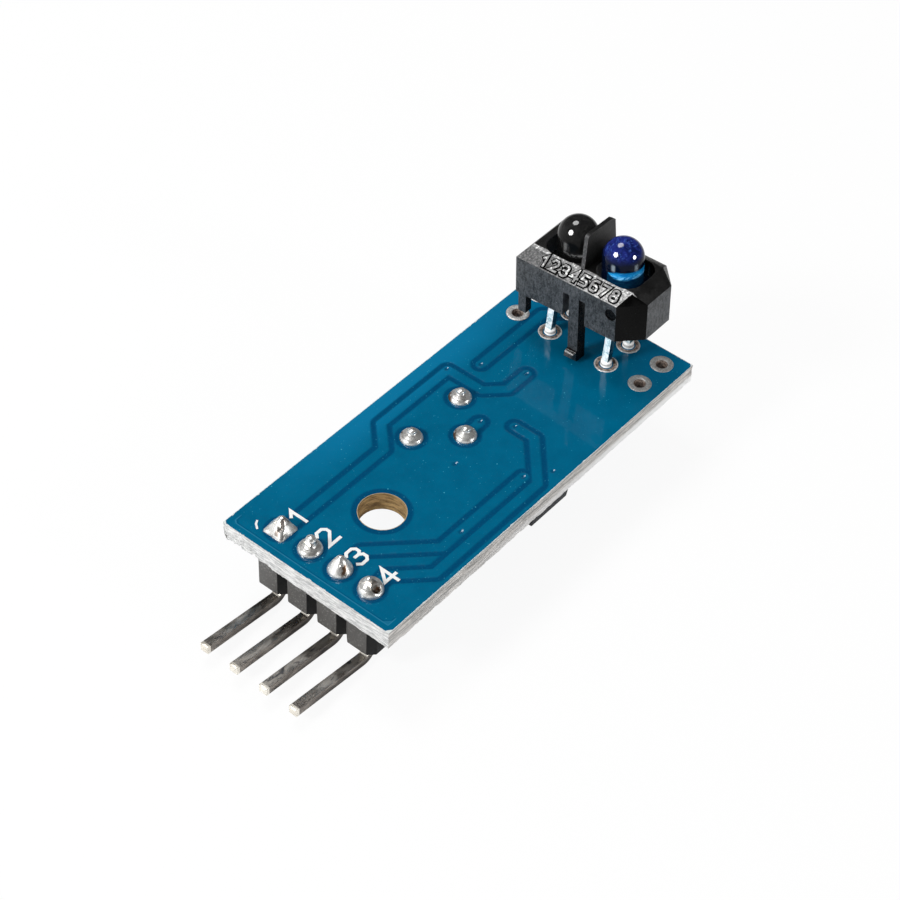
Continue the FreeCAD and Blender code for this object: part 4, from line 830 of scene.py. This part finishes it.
# Faces towards the narrow side take painted shade.
softened("header_housing", "header_moulded", [HEADER_BLACK, HEADER_SHADE], 0.05,
         choose=lambda normal, middle: int(normal.y < -0.3))
for number in range(1, 5):
    softened("header_pin_%d" % number, "header_pin_formed_%d" % number,
             [PIN_METAL, PIN_SHADE, PIN_HIGHLIGHT], 0.045, choose=pin_face, shape=pointed)
softened("trimmer_housing", "trimmer_moulded", [TRIMMER_BLUE], 0.06)
softened("trimmer_rotor", "rotor_moulded", [ROTOR_WHITE], 0.04, body="rotor")
softened("comparator_body", "comparator_moulded", [PACKAGE], 0.04)


# Solder.

def profile_at(stops, t):
    """A smooth curve through pairs of radius and height, at a share t of its length."""
    stops = np.array(stops, float)
    place = t * (len(stops) - 1)
    k = min(int(place), len(stops) - 2)
    u = place - k
    p0 = stops[max(k - 1, 0)]
    p1, p2 = stops[k], stops[k + 1]
    p3 = stops[min(k + 2, len(stops) - 1)]
    return 0.5 * (2 * p1 + (p2 - p0) * u + (2 * p0 - 5 * p1 + 4 * p2 - p3) * u ** 2
                  + (3 * p1 - p0 - 3 * p2 + p3) * u ** 3)


def solder_blob(kind, number, place, stops, bore, lean=(0.0, 0.0), square=0.0, dents=(), seed=0.0,
                uneven=0.03, foot=(), material=SOLDER, shades=None):
    """A closed joint: a shaped crown on the board, a plug in the hole and a foot below.

    stops and foot are pairs of radius and height or depth. Each dent has its middle, its
    reach and its depth. shades gives each attribute's value at a place of the joint.
    """
    around, rows, foot_rows = 56, 26, 12
    x, y = place
    peak = max(height for _, height in stops)

    def ring(radius, height, squareness=0.0, wobble=0.0):
        made = []
        for turn in turns(around):
            c, s = math.cos(turn), math.sin(turn)
            box = min(radius / max(abs(c), abs(s)), radius * 1.3)
            reach = radius + (box - radius) * squareness
            reach *= 1 + wobble * noise.noise(Vector((c * 1.4 + seed, s * 1.4, height * 1.5 + seed)))
            made.append((reach * c, reach * s, height))
        return made

    rings = []
    for row in reversed(range(rows)):
        radius, height = profile_at(stops, row / rows)
        squareness = square * (1 - max(height, 0.0) / peak) ** 1.5
        rings.append(ring(max(radius, 0.002), height, squareness, uneven if row else 0.0))
    rings.append(ring(stops[0][0], -0.004, square))
    rings += [ring(bore, height) for height in (-0.02, BOARD_LOW_Z / 2, BOARD_LOW_Z)]
    for row in range(foot_rows if foot else 0):
        radius, depth = profile_at(foot, row / foot_rows)
        rings.append(ring(radius, BOARD_LOW_Z - depth, 0.0, uneven * 0.7))

    points = []
    for px, py, pz in sum(rings, []):
        rise = max(pz, 0.0) / peak
        px += lean[0] * rise ** 1.6
        py += lean[1] * rise ** 1.6
        for dent_x, dent_y, reach, depth in dents:
            off = ((px - dent_x) ** 2 + (py - dent_y) ** 2) / reach ** 2
            pz -= depth * math.exp(-off) * min(1, rise * 4)
        points.append((x + px, y + py, pz))
    top = len(points)
    points.append((x + lean[0], y + lean[1], profile_at(stops, 1.0)[1]))
    points.append((x, y, BOARD_LOW_Z - (foot[-1][1] if foot else 0.0)))
    faces = stack_faces(top, 0, top, around, top + 1)
    values = {key: [rule(px - x, py - y, pz) for px, py, pz in points]
              for key, rule in (shades or {}).items()}
    return new_piece("joint_%s_%d" % (kind, number), points, faces, [material],
                     replaces=["%s_solder_%d" % (kind, number)], attributes=values)


def rightward(px, py):
    """How far a place on a joint is along the board's narrow side and away from the header."""
    return 0.61 * px - 0.79 * py


def header_joints():
    """Each of the four joints has its own crown, dents and stain of flux."""
    ridge = [(0.84, 0.0), (0.80, 0.12), (0.66, 0.36), (0.49, 0.62), (0.34, 0.84), (0.18, 1.02), (0.0, 1.07)]
    column = [(0.83, 0.0), (0.82, 0.14), (0.70, 0.32), (0.46, 0.44), (0.35, 0.66), (0.30, 0.95), (0.0, 1.06)]
    cone = [(0.84, 0.0), (0.80, 0.15), (0.66, 0.38), (0.48, 0.66), (0.30, 0.92), (0.14, 1.06), (0.0, 1.09)]
    hollow = [(0.85, 0.0), (0.84, 0.16), (0.74, 0.40), (0.56, 0.52), (0.40, 0.66), (0.26, 0.86), (0.0, 0.95)]

    def crack(px, py, pz):
        return 0.7 if abs(py + 0.3) < 0.16 and pz > 0.15 else 0.0

    def flank(px, py, pz):
        return 1.3 * (1 - ramp(abs(rightward(px, py) - 0.28), 0.06, 0.2)) * (1 - ramp(pz, 0.6, 0.85))

    def pit(px, py, pz):
        return 1.8 * (1 - ramp(math.hypot(px - 0.02, py + 0.4), 0.2, 0.36))

    crowns = [
        dict(stops=ridge, lean=(0.16, -0.02), square=1.0, seed=2.0, uneven=0.05,
             dents=[(-0.3, -0.32, 0.16, 0.16), (-0.5, 0.4, 0.3, 0.06)], shades={"stain": crack}),
        dict(stops=column, lean=(0.14, 0.04), seed=5.0),
        dict(stops=cone, lean=(0.12, 0.05), seed=8.0, shades={"stain": flank}),
        dict(stops=hollow, lean=(0.1, 0.16), seed=11.0,
             dents=[(0.02, -0.40, 0.26, 0.62), (0.42, 0.1, 0.2, 0.2)], shades={"stain": pit}),
    ]
    for number, (place, crown) in enumerate(zip(HEADER, crowns), 1):
        solder_blob("header", number, place, bore=0.49, **crown)


def trimmer_joints():
    dome = [(0.80, 0.0), (0.79, 0.10), (0.68, 0.27), (0.47, 0.38), (0.31, 0.48), (0.25, 0.68), (0.0, 0.74)]

    def flank(px, py, pz):
        return 1.3 * ramp(-rightward(px, py), 0.5, 0.72)

    for number, place in enumerate(TRIMMER, 1):
        solder_blob("trimmer", number, place, dome, 0.41, lean=(0.10, 0.0), seed=20.0 + number,
                    uneven=0.04, shades={"stain": flank})


def sensor_joints():
    """A flat ring with flux on it and a painted highlight on the neck where the lead stands in it, crossed
    by a darker band.
    """
    neck = [(0.84, 0.0), (0.82, 0.022), (0.70, 0.03), (0.55, 0.024), (0.48, -0.03), (0.44, -0.05),
            (0.41, 0.04), (0.39, 0.24), (0.34, 0.42), (0.0, 0.45)]
    foot = [(0.82, 0.0), (0.80, 0.06), (0.62, 0.22), (0.44, 0.5), (0.34, 0.85), (0.0, 1.0)]

    def fluxed(px, py, pz):
        return float(0.43 < math.hypot(px, py) < 0.74 and pz > -0.5)

    def necked(px, py, pz):
        if math.hypot(px, py) > 0.43 or pz < 0.0:
            return 0.0
        return 0.1 if 0.11 < pz < 0.23 else 1.0

    return [solder_blob("sensor", number, place, neck, 0.41, seed=30.0 + number, uneven=0.02, foot=foot,
                        material=RING, shades={"flux": fluxed, "neck": necked})
            for number, place in enumerate(LEADS, 1)]


def spare_eyelets():
    """Four plated holes in one piece, each a lining with a land on both faces."""
    profile = [(0.41, -0.02), (0.45, 0.012), (0.52, 0.026), (0.66, 0.024), (0.80, 0.02), (0.83, 0.0),
               (0.47, -0.002), (0.468, -0.75), (0.47, -1.498), (0.83, -1.5), (0.80, -1.52), (0.52, -1.526),
               (0.45, -1.512), (0.41, -1.48), (0.40, -1.1), (0.40, -0.75), (0.40, -0.4)]
    around = 48
    points, faces, flux = [], [], []
    for x, y in SPARES:
        low = len(points)
        for radius, z in profile:
            for turn in turns(around):
                c, s = math.cos(turn), math.sin(turn)
                reach = radius * (1 + 0.02 * noise.noise(Vector((c + x, s + y, z * 3))))
                points.append((x + reach * c, y + reach * s, z))
                flux.append(1.0 if radius < 0.43 else 0.0)
        for row in range(len(profile)):
            after = (row + 1) % len(profile)
            faces += ring_faces(low + row * around, low + after * around, around)
    new_piece("spare_eyelets_tinned", points, faces, [RING],
              replaces=["spare_eyelets"], attributes={"flux": flux})


header_joints()
trimmer_joints()
SENSOR_JOINTS = sensor_joints()
spare_eyelets()


# The two lenses: a smooth dome on a moulded block.

# The side of the domes that the photograph shows, as degrees about the upright axis.
SHOWN_SIDE = -142.0


def off_shown(turn):
    """Degrees from the shown side, -180 to 180."""
    return (math.degrees(turn) - SHOWN_SIDE + 180.0) % 360.0 - 180.0


def crescent(turn, below):
    """How strongly the painted crescent of gathered light and its painted sparks show, at an angle and a
    depth under the dome.
    """
    off = off_shown(turn)
    middle = 0.59 + 0.12 * ramp(off, 30.0, 85.0)
    half = 0.30 * ramp(off, -54.0, -14.0) * (1 - ramp(off, 82.0, 112.0))
    if half < 0.02:
        return 0.0, 0.0
    place = (below - middle) / half
    pool = 0.10 * ramp(place, 0.5, 1.0) * (1 - ramp(below, 1.5, 2.2))
    return max(1 - ramp(abs(place), 0.7, 1.15), pool), ramp(place, -0.1, 0.6) * (1 - ramp(place, 1.0, 1.3))


def post(turn, below, angles, low, high):
    """How strongly a lead's post shows through the lens."""
    nearest = min(abs(off_shown(turn) - angle) for angle in angles)
    return (1 - ramp(nearest, 2.5, 7.5)) * ramp(below, low, low + 0.16) * (1 - ramp(below, high - 0.2, high))


def lens(name, node, side, material, angles, low, high):
    """A dome on a block that fills its pocket. The posts stand at some angles, from low to high."""
    radius, centre, around, steps = 1.43, 4.72, 120, 24
    middle = 1.88 * side
    profile = []
    for step in range(1, steps + 1):
        turn = math.pi / 2 * (1 - step / steps)
        profile.append((radius * math.cos(turn), centre + radius * math.sin(turn)))
    profile += [(radius, centre - 0.08 * step) for step in range(1, 20)] + [(radius, 2.45)]
    points = [(0.0, middle, centre + radius)]
    shades = [(0.0, 0.0, 1.0, 0.0)]
    for reach, z in profile:
        for turn in turns(around):
            points.append((reach * math.cos(turn), middle + reach * math.sin(turn), z))
            shades.append((*crescent(turn, centre - z), ramp(z - centre, 0.2, 0.9),
                           post(turn, centre - z, angles, low, high)))
    for z in (2.42, 0.6):
        for turn in turns(around):
            c, s = math.cos(turn), math.sin(turn)
            block_half_y = 1.89 if s * side > 0 else 1.45
            reach = min(1.62 / max(abs(c), 1e-6), block_half_y / max(abs(s), 1e-6))
            points.append((reach * c, middle + reach * s, z))
    points.append((0.0, middle, 0.6))
    tip = len(points) - 1
    faces = stack_faces(0, 1, tip, around, tip)
    shades += [(0.0, 0.0, 0.0, 0.0)] * (len(points) - len(shades))
    keys = ("crescent", "sparks", "upper", "post")
    piece = new_piece(name, [leaned(*p) for p in points], faces, [material], replaces=[node],
                      attributes=dict(zip(keys, zip(*shades))))
    sharpen(piece, 35)
    return piece


LENSES = [lens("detector_lens_dome", "detector_lens", 1, BLACK_EPOXY, (-39.0,), -0.2, 0.8),
          lens("emitter_lens_dome", "emitter_lens", -1, BLUE_EPOXY, (-30.0, 36.0),
               -0.3, 0.35)]


# Plain numbers: white ink beside each header pin, raised along the sensor's bevel.

def ribbon_points(line, half):
    """The outline of a line with mitred corners, its ends square."""
    line = [np.array(p, float) for p in line]
    ways = [(b - a) / np.linalg.norm(b - a) for a, b in zip(line, line[1:])]
    left, right = [], []
    for k, p in enumerate(line):
        before, after = ways[max(k - 1, 0)], ways[min(k, len(ways) - 1)]
        side = np.array([-before[1] - after[1], before[0] + after[0]])
        side /= np.linalg.norm(side)
        side *= half / math.sqrt((1 + before @ after) / 2)
        p = p + (ways[0] * -half if k == 0 else ways[-1] * half if k == len(line) - 1 else 0)
        left.append(p + side)
        right.append(p - side)
    return left, right


# In hundredths of a digit's height.
DIGITS = {
    "1": [[(15, 72), (42, 100), (42, 0)]],
    "2": [[(0, 82), (16, 100), (50, 100), (66, 82), (66, 62), (0, 0), (70, 0)]],
    "3": [[(0, 86), (14, 100), (50, 100), (66, 84), (66, 64), (50, 52), (26, 52)],
          [(50, 50), (66, 38), (66, 16), (50, 0), (14, 0), (0, 14)]],
    "4": [[(52, 0), (52, 100), (0, 34), (74, 34)]],
    "5": [[(64, 100), (4, 100), (0, 56), (48, 56), (66, 40), (66, 16), (50, 0), (0, 0)]],
    "6": [[(60, 100), (20, 100), (0, 80), (0, 16), (16, 0), (50, 0), (66, 16), (66, 42), (50, 56), (6, 56)]],
    "7": [[(0, 100), (68, 100), (24, 0)]],
    "8": [[(33, 52), (6, 66), (6, 88), (20, 100), (46, 100), (60, 88), (60, 66), (33, 52), (0, 38),
           (0, 14), (16, 0), (50, 0), (66, 14), (66, 38), (36, 50)]],
}


def raised_strokes(strokes, x, y, height, half, lift):
    """Points and faces of flat strokes with upright sides, and which faces are sides."""
    points, faces, sides = [], [], []
    for line in strokes:
        left, right = ribbon_points([(x + u * height / 100, y + v * height / 100) for u, v in line], half)
        low, count = len(points), 2 * len(left)
        heights = [lift + 0.002 * k for k in range(len(left))]
        lift += 0.003
        outline = left + right[::-1]
        points += [(*p, 0.0) for p in outline]
        points += [(*p, h) for p, h in zip(outline, heights + heights[::-1])]
        for k in range(len(left) - 1):
            a, c = low + k, low + count - 1 - k
            faces += [[a + count, c + count, c + count - 1, a + count + 1], [a, a + 1, c - 1, c]]
            sides += [0, 1]
        faces += ring_faces(low, low + count, count)
        sides += [1] * count
    return points, faces, sides


def ink_strokes(name, strokes, x, y, height, half):
    points, faces, _ = raised_strokes(strokes, x, y, height, half, 0.022)
    new_piece(name, points, faces, [INK], smooth=False)


for number, (x, y) in enumerate(HEADER, 1):
    ink_strokes("ink_number_%d" % number, DIGITS[str(number)], x + 1.05, y - 0.75, 1.35, 0.11)
ink_strokes("ink_tick", [[(0, 0), (22, 30), (44, 42)]], -6.4, 5.0, 1.0, 0.07)


def bevel_marks():
    """Raised numbers along the sensor's long bevel: a root in painted shade with a crest in painted
    highlight.
    """
    run, rise = 1.05, 0.7
    slope = math.hypot(run, rise)
    points, faces, kinds = [], [], []
    for number, digit in enumerate("12345678"):
        for half, lift, kind in ((0.17, 0.035, 1), (0.075, 0.08, 0)):
            made, ways, sides = raised_strokes(DIGITS[digit], 0.84 * number, 0.0, 0.74, half, lift)
            low = len(points)
            for u, v, w in made:
                up = (v + 0.26) / slope
                points.append(leaned(-SENSOR_HALF_X + run * up - w * rise / slope, 3.15 - u,
                                     3.0 + rise * up + (w - 0.02) * run / slope))
            faces += [[low + k for k in face] for face in ways]
            kinds += [max(kind, side) for side in sides]
    new_piece("housing_numbers", points, faces, [HOUSING_CREST_HIGHLIGHT, HOUSING_SMOOTH_SHADE],
              smooth=False, kinds=kinds)


bevel_marks()


# Materials of the nodes that stay as packed.

SENSOR_LEADS = ["detector_lead_1", "detector_lead_2", "emitter_lead_1", "emitter_lead_2"]
RESISTORS = ["resistor_%d" % number for number in range(1, 6)]
CAPACITORS = ["capacitor_1", "capacitor_2"]
KEPT = [
    (LEAD_METAL, SENSOR_LEADS),
    (LEAD_METAL, ["trimmer_pin_1", "trimmer_pin_2", "trimmer_pin_3", "comparator_lead_set"]),
    (SPRING, ["trimmer_wiper"]),
    (CERAMIC, ["trimmer_element"]),
    (RING, ["surface_lands"]),
    (LIGHT_BASE, ["power_light_base", "output_light_base"]),
    (LIGHT_LENS, ["power_light_lens", "output_light_lens"]),
    (RESISTOR, RESISTORS),
    (CAPACITOR, CAPACITORS),
    (SOLDER, [node + "_caps" for node in RESISTORS + CAPACITORS]),
]
for material, nodes in KEPT:
    for node in nodes:
        data = NODES[node].data
        data.materials.clear()
        data.materials.append(material)
# Faces towards the narrow side take painted shade.
for node in SENSOR_LEADS:
    data = NODES[node].data
    data.materials.append(LEAD_SHADE)
    for face in data.polygons:
        face.material_index = int(face.normal.y < -0.5)

# The mask would show the lamps' glancing gleam in the domes as white arcs.
for piece in LENSES:
    piece.visible_glossy = False


# Camera, light and floor.

def aim(obj, target, azimuth, elevation, distance, roll=0.0):
    """Sets an object on a sphere about a target, looking at it."""
    a, e = math.radians(azimuth), math.radians(elevation)
    back = Vector((math.cos(a) * math.cos(e), math.sin(a) * math.cos(e), math.sin(e)))
    rolled = back.to_track_quat("Z", "Y").to_matrix() @ Matrix.Rotation(math.radians(roll), 3, "Z")
    obj.matrix_world = Matrix.Translation((Vector(target) + back * distance) * MM) @ rolled.to_4x4()


def photo_camera():
    """The photograph's own view, fitted to the board's corners and edges and to the header's joints."""
    data = bpy.data.cameras.new("photo_camera")
    data.sensor_width = 36.0
    data.lens = 94.075
    data.clip_start = 0.005
    data.clip_end = 5.0
    camera = in_scene("photo_camera", data)
    aim(camera, target=(7.489, 0.544, -0.455), azimuth=-142.2255, elevation=45.6703,
        distance=155.914, roll=2.8258)
    bpy.context.scene.camera = camera


def lamp(name, side, distance, size, power, lit=(), spared=(), diffuse=True, glossy=True):
    """A round area lamp aimed at the part; it may light only some pieces, or spare some."""
    data = bpy.data.lights.new(name, "AREA")
    data.shape = "DISK"
    data.size = size * MM
    data.energy = power
    obj = in_scene(name, data)
    aim(obj, (12.0, 0.0, 0.0), *side, distance)
    obj.visible_diffuse = diffuse
    obj.visible_glossy = glossy
    if lit or spared:
        chosen = bpy.data.collections.new(name)
        for piece in lit or spared:
            chosen.objects.link(piece)
        for entry in chosen.collection_objects:
            entry.light_linking.link_state = "INCLUDE" if lit else "EXCLUDE"
        obj.light_linking.receiver_collection = chosen
    if lit:
        data.cycles.max_bounces = 0


# Azimuth and elevation of where a lamp stands, as seen from the part.
LEFT, ABOVE, RIGHT = (158.0, 35.0), (78.0, 66.0), (-76.0, 20.0)


def lamps():
    lamp("key_left", LEFT, 320.0, 78.0, 0.55, spared=LENSES)
    lamp("overhead_soft", ABOVE, 340.0, 120.0, 0.36, spared=LENSES)
    lamp("fill_right", RIGHT, 320.0, 50.0, 0.2, spared=LENSES)
    lamp("dome_soft", (160.0, 60.0), 300.0, 120.0, 1.2, lit=LENSES, glossy=False)
    lamp("gleam_left", LEFT, 290.0, 136.0, 8.0, lit=LENSES, diffuse=False)
    lamp("gleam_above", ABOVE, 310.0, 150.0, 2.6, lit=LENSES, diffuse=False)
    lamp("gleam_right", RIGHT, 290.0, 92.0, 4.0, lit=LENSES, diffuse=False)
    lamp("gleam_leads", (172.0, 28.0), 290.0, 100.0, 0.7,
         lit=[NODES[node] for node in SENSOR_LEADS] + SENSOR_JOINTS)


def pale_world():
    """White to the camera and soft on surfaces. Reflections see it dark above and to the right."""
    n = Nodes(bpy.data.worlds.new("pale_studio"), "Generated")

    def background(strength):
        return n.add("Background", {"Color": grey(1.0), "Strength": strength})

    height = n.add("SeparateXYZ", {0: n.place}, "Z")
    leftward = n.add("VectorMath", {0: n.place, 1: (-0.95, 0.3, 0.0)}, "Value", operation="DOT_PRODUCT")
    reflected = n.times(n.band(height, 0.1, 0.5, 0.9, 0.07), n.band(leftward, -0.2, 0.7, 0.15, 1.0))
    seen = n.blend(n.ray("Is Camera Ray"), background(reflected), background(1.0))
    bent = n.math("MAXIMUM", n.ray("Is Glossy Ray"), n.ray("Is Transmission Ray"))
    is_seen = n.math("MAXIMUM", n.ray("Is Camera Ray"), bent)
    bpy.context.scene.world = n.finish_plain(n.blend(is_seen, background(0.4), seen))


def floor_material():
    """Nearly white to the camera, with a soft shadow; clear from below.

    It is clear too for rays that start just above it, so that the underside can be looked at.
    """
    n = material_nodes("pale_floor")
    diffuse = n.add("BsdfDiffuse", {"Color": grey(0.93)})
    glow = n.add("Emission", {"Color": grey(1.0), "Strength": 1.0})
    lit = n.blend(n.times(n.ray("Is Camera Ray"), 0.92), diffuse, glow)
    close = n.math("LESS_THAN", n.ray("Ray Length"), 0.5 * MM)
    passed = n.math("MAXIMUM", n.add("NewGeometry", output="Backfacing"), close)
    return n.finish_plain(n.blend(passed, lit, n.add("BsdfTransparent")))


def make_floor():
    """A wide floor just under the part's lowest point."""
    reach = 1.2
    level = cad_box[0][2] - 0.02 * MM
    mesh = bpy.data.meshes.new("floor")
    mesh.from_pydata([(-reach, -reach, level), (reach, -reach, level), (reach, reach, level),
                      (-reach, reach, level)], [], [[0, 1, 2, 3]])
    mesh.materials.append(floor_material())
    in_scene("floor", mesh)


photo_camera()
lamps()
pale_world()
make_floor()
bpy.context.scene.view_settings.view_transform = "Standard"
